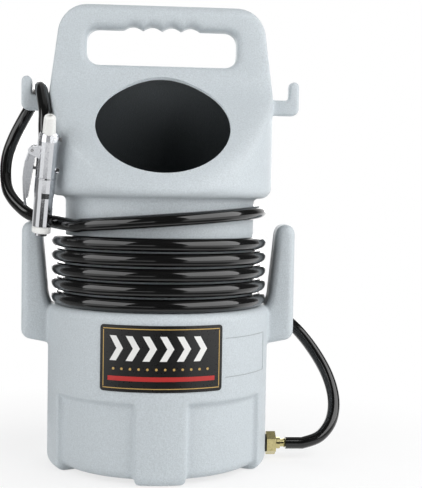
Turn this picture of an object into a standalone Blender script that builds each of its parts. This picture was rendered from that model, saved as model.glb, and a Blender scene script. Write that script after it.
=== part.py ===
"""Portable siphon abrasive blaster: a moulded hopper with its hose wound round the waist and its blast gun.

Units are metres, +Z is up, and the fill hole and the label face -Y. The origin is on the floor, on the
hopper's own axis.
"""

import math

import bmesh
import bpy
from mathutils import Matrix, Vector

# Clearances between pieces
FACE_GAP = 0.0003
RUN_GAP = 0.0004

# Hopper: overall form. Heights follow the full height, and widths follow the barrel
HOPPER_HEIGHT = 0.538
BARREL_R = 0.130
WAIST_DEPTH = 0.019
WAIST_R = BARREL_R - WAIST_DEPTH
UPPER_OVERHANG = 0.0015
UPPER_R = BARREL_R + UPPER_OVERHANG
WALL = 0.003
SHOULDER_Z = 0.350 * HOPPER_HEIGHT
SHOULDER_ROUND = 0.009
WAIST_ROUND = 0.005
UPPER_BOTTOM_Z = 0.5835 * HOPPER_HEIGHT
UPPER_BOTTOM_ROUND = 0.013

# Hopper: pilaster ribs that end in feet, with recessed panels between them
FOOT_HEIGHT = 0.005
FOOT_WIDTH = 0.044
FOOT_INNER_R = BARREL_R - FOOT_WIDTH
BASE_ROUND = 0.011
PANEL_TOP_Z = 0.158 * HOPPER_HEIGHT
PANEL_DEPTH = 0.005
PANEL_EDGE = 0.005
FRONT_RIB_HALF_DEG = 13.0
SIDE_RIB_HALF_DEG = 28.0
RIB_EDGE_DEG = 1.5

# Hopper: slanted faces, which meet the handle slab
SLANT_DEG = 44.2
HANDLE_HEIGHT = 0.074
SLANT_APEX_Z = HOPPER_HEIGHT - HANDLE_HEIGHT
SLANT_DROP = SLANT_APEX_Z - UPPER_BOTTOM_Z
SLANT_ROUND = 0.020
SLANT_FOOT_ROUND = 0.016
HOLE_DIAMETER = 0.7262 * SLANT_DROP / math.cos(math.radians(SLANT_DEG))
HOLE_CENTRE_Z = SLANT_APEX_Z - 0.4566 * SLANT_DROP
HOLLOW_TOP_Z = SLANT_APEX_Z - 0.072 * SLANT_DROP

# Handle
HANDLE_HALF_DEPTH = 0.016
HANDLE_EDGE_ROUND = 0.013
HANDLE_TAPER_HEIGHT = 0.104
HANDLE_TAPER_Z = HOPPER_HEIGHT - HANDLE_TAPER_HEIGHT
HANDLE_NARROWING = 0.0138
HANDLE_TOP_HALF_WIDTH = UPPER_R - HANDLE_NARROWING
HANDLE_CORNER_ROUND = 0.032
HANDLE_POST_WIDTH = 0.0297
GRIP_HEIGHT = 0.0287
SLOT_HEIGHT = 0.0420
SLOT_TOP_Z = HOPPER_HEIGHT - GRIP_HEIGHT
SLOT_BOTTOM_Z = SLOT_TOP_Z - SLOT_HEIGHT
SLOT_HALF_WIDTH = HANDLE_TOP_HALF_WIDTH - HANDLE_POST_WIDTH
SLOT_CORNER_ROUND = 0.014
SLOT_EDGE_ROUND = 0.009
FINGER_PITCH = 0.0225
FINGER_DEPTH = 0.0045
FINGER_COUNT = 4

# Hooks at the sides of the upper body
HOOK_STANDOFF = 0.0320
HOOK_REACH = UPPER_R + HOOK_STANDOFF
HOOK_SINK = 0.012
HOOK_DROP = 0.125
HOOK_ARM_BOTTOM_Z = HOPPER_HEIGHT - HOOK_DROP
HOOK_ARM_HEIGHT = 0.018
HOOK_ARM_TOP_Z = HOOK_ARM_BOTTOM_Z + HOOK_ARM_HEIGHT
HOOK_TIP_RISE = 0.022
HOOK_TIP_Z = HOOK_ARM_TOP_Z + HOOK_TIP_RISE
HOOK_UPRIGHT = 0.012
HOOK_HALF_DEPTH = 0.008
HOOK_EDGE_ROUND = 0.0025
HOOK_BOTTOM_ROUND = 0.008
HOOK_INNER_ROUND = 0.0035

# Prongs that keep the wound hose on the waist
PRONG_STANDOFF = 0.031
PRONG_REACH = BARREL_R + PRONG_STANDOFF
PRONG_SINK = 0.012
PRONG_RISE = 0.0955
PRONG_TOP_Z = SHOULDER_Z + PRONG_RISE
PRONG_DROP = 0.0432
PRONG_BOTTOM_Z = SHOULDER_Z - PRONG_DROP
PRONG_TOP_WIDTH = 0.023
PRONG_ROOT_FLARE = 0.004
PRONG_ROOT_RISE = 0.012
PRONG_BOTTOM_ROUND = 0.012
PRONG_HALF_DEPTH = 0.019
PRONG_EDGE_ROUND = 0.009

# Label on the barrel's front
LABEL_HALF_DEG = 30.5
LABEL_MARGIN_BELOW = 0.0190
LABEL_MARGIN_ABOVE = 0.012
LABEL_BOTTOM_Z = PANEL_TOP_Z + LABEL_MARGIN_BELOW
LABEL_TOP_Z = SHOULDER_Z - LABEL_MARGIN_ABOVE
LABEL_CORNER_ROUND = 0.004
LABEL_THICKNESS = 0.0006

# Outlet fitting low on the right side
OUTLET_Z = 0.0185
OUTLET_THREAD_R = 0.0065
OUTLET_BORE_R = 0.004
OUTLET_HEX_FLATS = 0.0245
OUTLET_HEX_LENGTH = 0.011
OUTLET_WASHER_R = 0.0105
OUTLET_WASHER_THICKNESS = 0.0016
OUTLET_NUT_FLATS = 0.0185
OUTLET_NUT_LENGTH = 0.006
OUTLET_SPOT_GAP = 0.0008
OUTLET_SPOT_DEPTH = 0.030
OUTLET_SPOT_CUT = 0.001
OUTLET_THREAD_SPARE = 0.002
OUTLET_COLLAR_R = 0.0070
OUTLET_COLLAR_LENGTH = 0.0055
OUTLET_BARB_LENGTH = 0.0155
BARB_BORE_R = 0.003
BARB_RIDGES = 2
BARB_RIDGE_PITCH = 0.0028
BARB_RIDGE_HEIGHT = 0.0009

# Hose
HOSE_DIAMETER = 0.015
HOSE_BORE = 0.0095
COIL_PASSES = 6
COIL_PITCH = 0.0166
COIL_POINTS_PER_TURN = 24
COIL_START_DEG = 222.0

# Where the free runs of the hose pass, as steps from what they hang on
GUN_RUN_OVER_HOOK = (
    (0.0020, -0.0400, -0.0215),
    (0.0070, -0.0200, 0.0012),
    (0.0100, -0.0020, 0.0098),
    (0.0120, 0.0150, 0.0104),
    (0.0165, 0.0330, 0.0045),
    (0.0248, 0.0480, -0.0088),
    (0.0352, 0.0570, -0.0255),
    (0.0458, 0.0580, -0.0463),
    (0.0530, 0.0510, -0.0690),
)
GUN_RUN_TO_COIL = (
    (0.0660, 0.0370, 0.0570),
    (0.0600, 0.0180, 0.0352),
    (0.0440, -0.0030, 0.0176),
    (0.0242, -0.0240, 0.0070),
)
OUTLET_RUN = (
    (-0.0100, 0.070, 1.018),
    (0.0075, 0.084, 0.950),
    (0.0295, 0.086, 0.862),
    (0.0525, 0.076, 0.744),
    (0.0720, 0.060, 0.591),
    (0.0852, 0.042, 0.432),
    (0.0897, 0.025, 0.279),
    (0.0842, 0.011, 0.144),
    (0.0690, 0.003, 0.044),
    (0.0490, 0.000, 0.003),
)

# Blast gun, in its own frame: +Z towards the nozzle, -X towards the trigger, +Y away from the viewer
GUN_DROP = 0.1586
GUN_FOOT = Vector((-1.0272 * UPPER_R, -0.4715 * UPPER_R, HOOK_ARM_TOP_Z - GUN_DROP))
GUN_LEAN = Vector((0.0119, -0.023, 0.1335))
GUN_CAP_R = 0.0105
GUN_CAP_LENGTH = 0.0075
GUN_CAP_RIM = 0.001
HANDLE_TUBE_R = 0.0108
HANDLE_BLEND_Z = 0.040
HANDLE_BLEND_LENGTH = 0.006
GUN_SEAM_Z = 0.061
GUN_SEAM_THICKNESS = 0.0012
GUN_BODY_TOP_Z = 0.113
GUN_BODY_FLATS = 0.0235
GUN_BODY_SLIM = 0.0010
GUN_BODY_CHAMFER = 0.002
GUN_SHOULDER_DROP = 0.010
GUN_WALL = 0.004
AIR_BORE_R = 0.0042
NOZZLE_R = 0.0074
NOZZLE_BORE_R = 0.0030
NOZZLE_SEAT_DEPTH = 0.011
NOZZLE_LEDGE = 0.002
NOZZLE_LENGTH = 0.0325
NOZZLE_TAPER = 0.0008
NOZZLE_TILT_DEG = 20.0
NOZZLE_TIP_ROUND = 0.0035
JET_R = 0.0032
JET_LENGTH = 0.012
JET_BORE_R = 0.0012
JET_BOTTOM_Z = 0.083
SET_SCREW_R = 0.0017
SET_SCREW_HEAD_R = 0.0026
SET_SCREW_HEAD_LENGTH = 0.0016
SET_SCREW_STANDOFF = 0.001
SET_SCREW_Z = 0.1065
NIPPLE_R = 0.0066
NIPPLE_LENGTH = 0.022

# Gun valve and trigger
VALVE_Z = 0.072
VALVE_CHAMBER_R = 0.0042
STEM_R = 0.0018
STEM_HEAD_R = 0.0032
STEM_HEAD_LENGTH = 0.003
STEM_REACH = 0.0209
STEM_GUIDE_LENGTH = 0.0052
SEAL_LENGTH = 0.0016
SPRING_R = 0.0026
SPRING_WIRE = 0.0007
SPRING_TURNS = 5
PLUG_HEAD_R = 0.0034
PLUG_HEAD_LENGTH = 0.0022
PLUG_LENGTH = 0.004
PIVOT_X = -0.0165
PIVOT_Z = 0.092
PIVOT_PIN_R = 0.0015
EAR_HALF_GAP = 0.0056
EAR_THICKNESS = 0.003
EAR_R = 0.0045
EAR_FLARE = 0.004
LEVER_HALF_WIDTH = 0.0052
LEVER_THICKNESS = 0.0034
LEVER_CHEEK = 0.0011
LEVER_CLEARANCE = 0.0008
LEVER_PULL_DEG = 5.5
LEVER_EYE_R = 0.0042
LEVER_EDGE_ROUND = 0.0008
LEVER_BOW = (
    (-0.0035, -0.0040),
    (-0.0056, -0.0120),
    (-0.0066, -0.0220),
    (-0.0068, -0.0320),
    (-0.0056, -0.0440),
    (-0.0042, -0.0540),
    (-0.0027, -0.0620),
)

# Material inlet of the gun
INLET_ROOT = Vector((-0.002, 0.006, 0.083))
INLET_DIRECTION = Vector((-0.15, 0.62, 0.77)).normalized()
INLET_BOSS_R = 0.0075
INLET_BOSS_LENGTH = 0.017
INLET_BARB_LENGTH = 0.009
INLET_COLLAR_R = 0.0062
INLET_COLLAR_LENGTH = 0.003

ROUND_SIDES = 28
SMALL_SIDES = 16

# The hollow's radius behind the panels
INSIDE_R = BARREL_R - PANEL_DEPTH - WALL

# The flat that is cut inside the wall for the outlet's washer and nut
SPOT_FACE_X = INSIDE_R + OUTLET_SPOT_CUT

# The winding's straight steps clear the waist at their middles
COIL_R = (WAIST_R + HOSE_DIAMETER / 2 + FACE_GAP) / math.cos(math.pi / COIL_POINTS_PER_TURN)
COIL_LOWEST_Z = SHOULDER_Z + HOSE_DIAMETER / 2 + RUN_GAP

# The first pass climbs into part of the room that the winding leaves under the upper body
COIL_TOP_Z = COIL_LOWEST_Z + COIL_PITCH * (COIL_PASSES - 1)
COIL_FIRST_RISE = 0.728 * (UPPER_BOTTOM_Z - HOSE_DIAMETER / 2 - COIL_TOP_Z)


def clear_scene():
    for obj in list(bpy.data.objects):
        bpy.data.objects.remove(obj, do_unlink=True)


def material(name, colour, roughness, metallic=0.0):
    made = bpy.data.materials.new(name)
    made.use_nodes = True
    shader = made.node_tree.nodes["Principled BSDF"]
    shader.inputs["Base Color"].default_value = (*colour, 1.0)
    shader.inputs["Roughness"].default_value = roughness
    shader.inputs["Metallic"].default_value = metallic
    return made


def add_object(name, data, finish, parent=None, location=(0, 0, 0)):
    made = bpy.data.objects.new(name, data)
    bpy.context.scene.collection.objects.link(made)
    data.materials.append(finish)
    made.parent = parent
    made.location = location
    return made


def mesh_from(name, points, faces, sharp_deg=35.0):
    """A closed mesh with its faces turned outwards, shaded smooth up to the given angle."""
    mesh = bpy.data.meshes.new(name)
    mesh.from_pydata([tuple(point) for point in points], [], faces)
    work = bmesh.new()
    work.from_mesh(mesh)
    bmesh.ops.recalc_face_normals(work, faces=work.faces)
    work.to_mesh(mesh)
    work.free()
    mesh.shade_smooth()
    mesh.set_sharp_from_angle(angle=math.radians(sharp_deg))
    return mesh


def lofted(name, rings, sharp_deg=35.0):
    """A solid skinned over rings of equal count, with flat ends."""
    count = len(rings[0])
    points = [point for ring in rings for point in ring]
    faces = []
    for level in range(len(rings) - 1):
        for i in range(count):
            j = (i + 1) % count
            low, high = level * count, (level + 1) * count
            faces.append((low + i, low + j, high + j, high + i))
    faces.append(tuple(range(count))[::-1])
    faces.append(tuple(range(len(points) - count, len(points))))
    return mesh_from(name, points, faces, sharp_deg)


def turned(name, profile, axis="Z", sides=ROUND_SIDES, sharp_deg=35.0):
    """A hollow solid of revolution: profile is a closed loop of (radius, height) clear of the axis."""
    points = []
    faces = []
    count = len(profile)
    for step in range(sides):
        angle = math.tau * step / sides
        for radius, height in profile:
            points.append(Vector((radius * math.cos(angle), radius * math.sin(angle), height)))
    for step in range(sides):
        following = (step + 1) % sides
        for i in range(count):
            j = (i + 1) % count
            faces.append((step * count + i, following * count + i, following * count + j, step * count + j))
    return mesh_from(name, along_axis(points, axis), faces, sharp_deg)


def turned_solid(name, profile, axis="Z", sides=ROUND_SIDES, sharp_deg=35.0):
    """A solid of revolution with flat ends: profile runs along the axis as (radius, height)."""
    rings = []
    for radius, height in profile:
        ring = []
        for step in range(sides):
            angle = math.tau * step / sides
            ring.append(Vector((radius * math.cos(angle), radius * math.sin(angle), height)))
        rings.append(along_axis(ring, axis))
    return lofted(name, rings, sharp_deg)


def along_axis(points, axis):
    if axis == "X":
        return [Vector((p.z, p.x, p.y)) for p in points]
    if axis == "Y":
        return [Vector((p.x, -p.z, p.y)) for p in points]
    return points


def prism(name, flats, start, length, axis="Z", sides=6, bore=0.0):
    """A hexagon or octagon bar, given across its flats, with an optional bore."""
    outer = [Vector((x, y, 0)) for x, y in polygon(flats / 2, sides)]
    if bore:
        inner = [Vector((x, y, 0)) * (bore / (flats / 2)) for x, y in polygon(flats / 2, sides)]
        loops = [(outer, start), (outer, start + length), (inner, start + length), (inner, start)]
        points = [p + Vector((0, 0, height)) for loop, height in loops for p in loop]
        faces = []
        for level in range(4):
            for i in range(sides):
                j = (i + 1) % sides
                low, high = level * sides, (level + 1) % 4 * sides
                faces.append((low + i, low + j, high + j, high + i))
        return mesh_from(name, along_axis(points, axis), faces)
    rings = [[p + Vector((0, 0, height)) for p in outer] for height in (start, start + length)]
    return lofted(name, [along_axis(ring, axis) for ring in rings])


def polygon(inscribed, sides):
    corner = inscribed / math.cos(math.pi / sides)
    turn = math.pi / sides
    return [
        (corner * math.cos(math.tau * i / sides + turn), corner * math.sin(math.tau * i / sides + turn))
        for i in range(sides)
    ]


def arc(centre, radius, start_deg, end_deg, steps):
    """Points of a circular arc in a plane, both ends included."""
    found = []
    for step in range(steps + 1):
        angle = math.radians(start_deg + (end_deg - start_deg) * step / steps)
        found.append((centre[0] + radius * math.cos(angle), centre[1] + radius * math.sin(angle)))
    return found


def inset(outline, distance):
    """A closed outline moved inwards, corner by corner; the outline runs counter-clockwise."""
    moved = []
    count = len(outline)
    for i in range(count):
        before = Vector(outline[i]) - Vector(outline[i - 1])
        after = Vector(outline[(i + 1) % count]) - Vector(outline[i])
        first = Vector((-before.y, before.x)).normalized()
        second = Vector((-after.y, after.x)).normalized()
        normal = (first + second).normalized()
        moved.append(Vector(outline[i]) + normal * (distance / max(normal.dot(first), 0.4)))
    return moved


def rounded_slab(name, outline, half_depth, edge_round, steps=3, sharp_deg=40.0):
    """An outline in X and Z, extruded along Y, with its edges rounded over."""
    sections = []
    for step in range(steps + 1):
        angle = math.radians(90 * step / steps)
        sections.append((edge_round * (1 - math.sin(angle)), half_depth - edge_round * (1 - math.cos(angle))))
    rings = []
    for depth, out in sections:
        rings.append([Vector((x, -out, z)) for x, z in inset(outline, depth)])
    for depth, out in reversed(sections):
        rings.append([Vector((x, out, z)) for x, z in inset(outline, depth)])
    return lofted(name, rings, sharp_deg)


def helper(name, mesh):
    """A shape that only cuts or joins another one."""
    made = bpy.data.objects.new(name, mesh)
    bpy.context.scene.collection.objects.link(made)
    made.hide_render = True
    made.display_type = "WIRE"
    return made


def combine(target, tool, operation):
    modifier = target.modifiers.new(tool.name, "BOOLEAN")
    modifier.operation = operation
    modifier.solver = "EXACT"
    modifier.object = tool


def smooth_step(value):
    value = min(max(value, 0.0), 1.0)
    return value * value * (3 - 2 * value)


def soft_min(first, second, width):
    """The smaller of two distances, with the corner between them rounded over the given width."""
    near = max(width - abs(first - second), 0.0) / width
    return min(first, second) - 0.25 * width * near * near


# Hopper


def quarter_turn_angles():
    """Angles from the side towards the front: close together at the edges of the ribs."""
    front_edge = 90.0 - FRONT_RIB_HALF_DEG
    edges = [0.0]
    for edge in (SIDE_RIB_HALF_DEG, front_edge):
        edges += [edge - RIB_EDGE_DEG, edge, edge + RIB_EDGE_DEG]
    edges.append(90.0)
    steps = (3, 1, 1, 5, 1, 1, 2)
    found = []
    for start, end, count in zip(edges, edges[1:], steps):
        found += [start + (end - start) * i / count for i in range(count)]
    return found


def ring_angles():
    quarter = quarter_turn_angles()
    mirrored = [180.0 - a for a in quarter[1:]][::-1]
    half = quarter + [90.0] + mirrored
    return [math.radians(a) for a in half + [180.0 + a for a in half]]


def panel_share(angle):
    """1 on a recessed panel, 0 on a rib, with a soft edge between."""
    from_side = math.degrees(abs(math.atan2(math.sin(angle), abs(math.cos(angle)))))
    inner = smooth_step((from_side - SIDE_RIB_HALF_DEG + RIB_EDGE_DEG) / (2 * RIB_EDGE_DEG))
    outer = smooth_step((90 - FRONT_RIB_HALF_DEG + RIB_EDGE_DEG - from_side) / (2 * RIB_EDGE_DEG))
    return inner * outer


def half_depth_at(z):
    """Half the hopper's depth: the slanted faces run into the handle slab, which is rounded at its top."""
    slab = HANDLE_HALF_DEPTH
    above = z - (HOPPER_HEIGHT - HANDLE_EDGE_ROUND)
    if above > 0:
        slab -= HANDLE_EDGE_ROUND - math.sqrt(max(HANDLE_EDGE_ROUND**2 - above**2, 0.0))
    slant = (SLANT_APEX_Z - z) * math.tan(math.radians(SLANT_DEG))
    return -soft_min(-slab, -slant, SLANT_FOOT_ROUND)


def handle_half_width(z):
    top = HOPPER_HEIGHT
    share = (z - HANDLE_TAPER_Z) / (top - HANDLE_TAPER_Z)
    width = UPPER_R + (HANDLE_TOP_HALF_WIDTH - UPPER_R) * max(share, 0.0)
    above = z - (top - HANDLE_CORNER_ROUND)
    if above > 0:
        width -= HANDLE_CORNER_ROUND - math.sqrt(max(HANDLE_CORNER_ROUND**2 - above**2, 0.0))
    return width


def section_ring(radius, half_depth, z):
    """A circle cut off at front and back by the slanted faces, with rounded corners."""
    depth = min(half_depth, radius)
    ring = []
    for angle in ring_angles():
        turn = math.atan2(depth * math.sin(angle), radius * math.cos(angle))
        reach = radius
        if abs(math.sin(turn)) > 1e-6:
            reach = soft_min(radius, half_depth / abs(math.sin(turn)), SLANT_ROUND)
        ring.append(Vector((reach * math.cos(turn), reach * math.sin(turn), z)))
    return ring


def base_rings():
    """The underside and the barrel's lower part, where ribs stand proud of the panels and end in feet."""
    angles = ring_angles()
    lift = [FOOT_HEIGHT * panel_share(a) for a in angles]
    wall = [BARREL_R - PANEL_DEPTH * panel_share(a) for a in angles]

    def ring(radii, heights):
        return [Vector((r * math.cos(a), r * math.sin(a), z)) for a, r, z in zip(angles, radii, heights)]

    count = len(angles)
    rings = [ring([FOOT_INNER_R] * count, [FOOT_HEIGHT] * count)]
    rings.append(ring([FOOT_INNER_R + FOOT_HEIGHT / 2] * count, lift))
    for turn in (0, 30, 60, 90):
        out = BASE_ROUND * (1 - math.sin(math.radians(turn)))
        up = BASE_ROUND * (1 - math.cos(math.radians(turn)))
        rings.append(ring([r - out for r in wall], [z + up for z in lift]))
    rings.append(ring(wall, [PANEL_TOP_Z - PANEL_EDGE / 2] * count))
    rings.append(ring([BARREL_R] * count, [PANEL_TOP_Z + PANEL_EDGE / 2] * count))
    return rings


def trunk_profile(outset):
    """Radius and height from the barrel's band to the upper body; a negative outset gives the inside."""
    barrel, waist, upper = BARREL_R + outset, WAIST_R + outset, UPPER_R + outset
    shoulder, under = SHOULDER_Z + outset, UPPER_BOTTOM_Z - outset
    profile = arc((barrel - SHOULDER_ROUND, shoulder - SHOULDER_ROUND), SHOULDER_ROUND, 0, 90, 3)
    profile += arc((waist + WAIST_ROUND, shoulder + WAIST_ROUND), WAIST_ROUND, 270, 180, 2)
    profile += arc((waist + WAIST_ROUND, under - WAIST_ROUND), WAIST_ROUND, 180, 90, 2)
    corner = (upper - UPPER_BOTTOM_ROUND, under + UPPER_BOTTOM_ROUND)
    profile += arc(corner, UPPER_BOTTOM_ROUND, 270, 360, 3)
    return profile


def upper_levels(start, end, count):
    return [start + (end - start) * (i + 1) / count for i in range(count)]


def hopper_outside():
    rings = base_rings()
    profile = trunk_profile(0.0)
    for radius, z in profile:
        rings.append(section_ring(radius, half_depth_at(z), z))
    levels = upper_levels(profile[-1][1], SLANT_APEX_Z, 12)
    levels += upper_levels(SLANT_APEX_Z, HOPPER_HEIGHT - HANDLE_CORNER_ROUND, 2)
    for turn in (30, 50, 68, 82, 90):
        levels.append(HOPPER_HEIGHT - HANDLE_CORNER_ROUND * (1 - math.sin(math.radians(turn))))
    for z in levels:
        rings.append(section_ring(handle_half_width(z), half_depth_at(z), z))
    return lofted("hopper", rings)


def hopper_inside():
    """The hollow for the abrasive: one wall inside the panels, the waist and the slanted faces."""
    floor = FOOT_HEIGHT + WALL
    slant_wall = WALL / math.cos(math.radians(SLANT_DEG))
    profile = arc((INSIDE_R - BASE_ROUND, floor + BASE_ROUND), BASE_ROUND, 270, 360, 3)
    profile += [(INSIDE_R, PANEL_TOP_Z - PANEL_EDGE), (BARREL_R - WALL, PANEL_TOP_Z + PANEL_EDGE)]
    profile += trunk_profile(-WALL)
    rings = [section_ring(radius, half_depth_at(z) - slant_wall, z) for radius, z in profile]
    for z in upper_levels(profile[-1][1], HOLLOW_TOP_Z, 8):
        rings.append(section_ring(UPPER_R - WALL, half_depth_at(z) - slant_wall, z))
    return lofted("hopper_inside", rings)


def fill_hole_cutter():
    """A round saw cut, square to the front slanted face."""
    slant = math.radians(SLANT_DEG)
    centre_y = -(SLANT_APEX_Z - HOLE_CENTRE_Z) * math.tan(slant)
    reach = 0.4 * HOLE_DIAMETER
    mesh = turned_solid("fill_hole_cut", [(HOLE_DIAMETER / 2, -reach), (HOLE_DIAMETER / 2, reach)], sides=48)
    cut = helper("fill_hole_cut", mesh)
    cut.location = (0, centre_y, HOLE_CENTRE_Z)
    cut.rotation_euler = (math.pi / 2 - slant, 0, 0)
    return cut


def slot_outline():
    """The hand hole, counter-clockwise seen from the front, with finger grips along its upper edge."""
    width, low, high, corner = SLOT_HALF_WIDTH, SLOT_BOTTOM_Z, SLOT_TOP_Z, SLOT_CORNER_ROUND
    outline = arc((width - corner, low + corner), corner, 270, 360, 4)
    outline += arc((width - corner, high - corner), corner, 0, 90, 4)
    grip = FINGER_COUNT * FINGER_PITCH / 2
    per_finger = 5
    for step in range(FINGER_COUNT * per_finger + 1):
        x = grip - FINGER_PITCH * step / per_finger
        outline.append((x, high + FINGER_DEPTH * abs(math.sin(math.pi * step / per_finger))))
    outline += arc((-width + corner, high - corner), corner, 90, 180, 4)
    outline += arc((-width + corner, low + corner), corner, 180, 270, 4)
    return outline


def slot_cutter():
    """The hand hole widens towards both faces, so that the handle's edges come out rounded."""
    outline = slot_outline()
    sections = [(-SLOT_EDGE_ROUND, HANDLE_HALF_DEPTH + SLOT_EDGE_ROUND / 2)]
    for turn in (0, 30, 60, 90):
        flare = SLOT_EDGE_ROUND * (1 - math.sin(math.radians(turn)))
        back = SLOT_EDGE_ROUND * (1 - math.cos(math.radians(turn)))
        sections.append((-flare, HANDLE_HALF_DEPTH - back))
    rings = [[Vector((x, -out, z)) for x, z in inset(outline, grow)] for grow, out in sections]
    rings += [[Vector((x, out, z)) for x, z in inset(outline, grow)] for grow, out in reversed(sections)]
    return helper("hand_hole_cut", lofted("hand_hole_cut", rings))


def sided(outline, side):
    """The outline as drawn for the right side, or mirrored for the left one, still counter-clockwise."""
    if side > 0:
        return outline
    return [(-x, z) for x, z in reversed(outline)]


def hook_outline():
    root = UPPER_R - HOOK_SINK
    inner = HOOK_REACH - HOOK_UPRIGHT
    tip = HOOK_UPRIGHT / 2
    outline = [(root, HOOK_ARM_BOTTOM_Z)]
    bottom = (HOOK_REACH - HOOK_BOTTOM_ROUND, HOOK_ARM_BOTTOM_Z + HOOK_BOTTOM_ROUND)
    outline += arc(bottom, HOOK_BOTTOM_ROUND, 270, 360, 4)
    outline += arc((HOOK_REACH - tip, HOOK_TIP_Z - tip), tip, 0, 180, 6)
    corner = (inner - HOOK_INNER_ROUND, HOOK_ARM_TOP_Z + HOOK_INNER_ROUND)
    outline += arc(corner, HOOK_INNER_ROUND, 360, 270, 3)
    outline.append((root, HOOK_ARM_TOP_Z))
    return outline


def prong_outline():
    root = BARREL_R - PRONG_SINK
    flare = PRONG_ROOT_FLARE
    tip = PRONG_TOP_WIDTH / 2
    outline = [(root, PRONG_BOTTOM_Z - flare), (BARREL_R - flare / 4, PRONG_BOTTOM_Z - flare)]
    corner = (PRONG_REACH - PRONG_BOTTOM_ROUND, PRONG_BOTTOM_Z + PRONG_BOTTOM_ROUND)
    outline += arc(corner, PRONG_BOTTOM_ROUND, 285, 360, 4)
    outline += arc((PRONG_REACH - tip, PRONG_TOP_Z - tip), tip, 0, 172, 8)
    outline.append((BARREL_R + flare / 4, SHOULDER_Z + PRONG_ROOT_RISE))
    outline.append((BARREL_R - flare / 4, SHOULDER_Z + PRONG_ROOT_RISE / 3))
    outline.append((BARREL_R - flare, SHOULDER_Z - PRONG_ROOT_RISE / 4))
    outline.append((root, SHOULDER_Z - PRONG_ROOT_RISE))
    return outline


def build_hopper(finish):
    hopper = add_object("hopper", hopper_outside(), finish)
    for side, name in ((1, "right"), (-1, "left")):
        hook = rounded_slab(f"{name}_hook", sided(hook_outline(), side), HOOK_HALF_DEPTH, HOOK_EDGE_ROUND, 2)
        combine(hopper, helper(f"{name}_hook", hook), "UNION")
        prong = rounded_slab(f"{name}_prong", sided(prong_outline(), side), PRONG_HALF_DEPTH, PRONG_EDGE_ROUND)
        combine(hopper, helper(f"{name}_prong", prong), "UNION")
    combine(hopper, helper("hopper_inside", hopper_inside()), "DIFFERENCE")
    combine(hopper, fill_hole_cutter(), "DIFFERENCE")
    combine(hopper, slot_cutter(), "DIFFERENCE")
    bore_r = OUTLET_THREAD_R + FACE_GAP
    spot_r = OUTLET_NUT_FLATS / math.sqrt(3) + OUTLET_SPOT_GAP
    bore = turned_solid(
        "outlet_bore",
        [
            (spot_r, SPOT_FACE_X - OUTLET_SPOT_DEPTH),
            (spot_r, SPOT_FACE_X),
            (bore_r, SPOT_FACE_X),
            (bore_r, BARREL_R + WALL),
        ],
        "X",
        SMALL_SIDES,
    )
    cut = helper("outlet_bore", bore)
    cut.location = (0, 0, OUTLET_Z)
    combine(hopper, cut, "DIFFERENCE")


def build_label(finish):
    """A thin plate bent round the barrel's band, with rounded corners."""
    inner = BARREL_R + FACE_GAP
    columns = 16
    corner = LABEL_CORNER_ROUND
    half_arc = math.radians(LABEL_HALF_DEG)
    points = []
    for radius in (inner, inner + LABEL_THICKNESS):
        for column in range(columns + 1):
            share = 2 * column / columns - 1
            angle = half_arc * share
            from_end = radius * half_arc * (1 - abs(share))
            trim = max(corner - from_end, 0.0)
            trim = corner - math.sqrt(max(corner**2 - trim**2, 0.0))
            x, y = radius * math.sin(angle), -radius * math.cos(angle)
            points.append(Vector((x, y, LABEL_BOTTOM_Z + trim)))
            points.append(Vector((x, y, LABEL_TOP_Z - trim)))
    row = 2 * (columns + 1)
    faces = []
    for column in range(columns):
        a, b = 2 * column, 2 * column + 2
        faces.append((a, b, b + 1, a + 1))
        faces.append((row + a, row + a + 1, row + b + 1, row + b))
        faces.append((a, row + a, row + b, b))
        faces.append((a + 1, b + 1, row + b + 1, row + a + 1))
    last = 2 * columns
    faces.append((0, 1, row + 1, row))
    faces.append((last, row + last, row + last + 1, last + 1))
    add_object("front_label", mesh_from("front_label", points, faces), finish)


# Outlet


def barb_profile(bore, start, collar_r, collar_length, length):
    """A collar, then a shank with saw-tooth ridges that hold the hose; heights run along the bore."""
    shank = HOSE_BORE / 2
    ridge = shank + BARB_RIDGE_HEIGHT
    profile = [(bore, start), (collar_r, start), (collar_r, start + collar_length)]
    profile.append((shank, start + collar_length))
    first = start + length - BARB_RIDGES * BARB_RIDGE_PITCH
    for i in range(BARB_RIDGES):
        profile.append((shank, first + BARB_RIDGE_PITCH * i))
        profile.append((ridge, first + BARB_RIDGE_PITCH * (i + 0.1)))
    profile.append((shank, start + length))
    profile.append((bore, start + length))
    return profile


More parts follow.
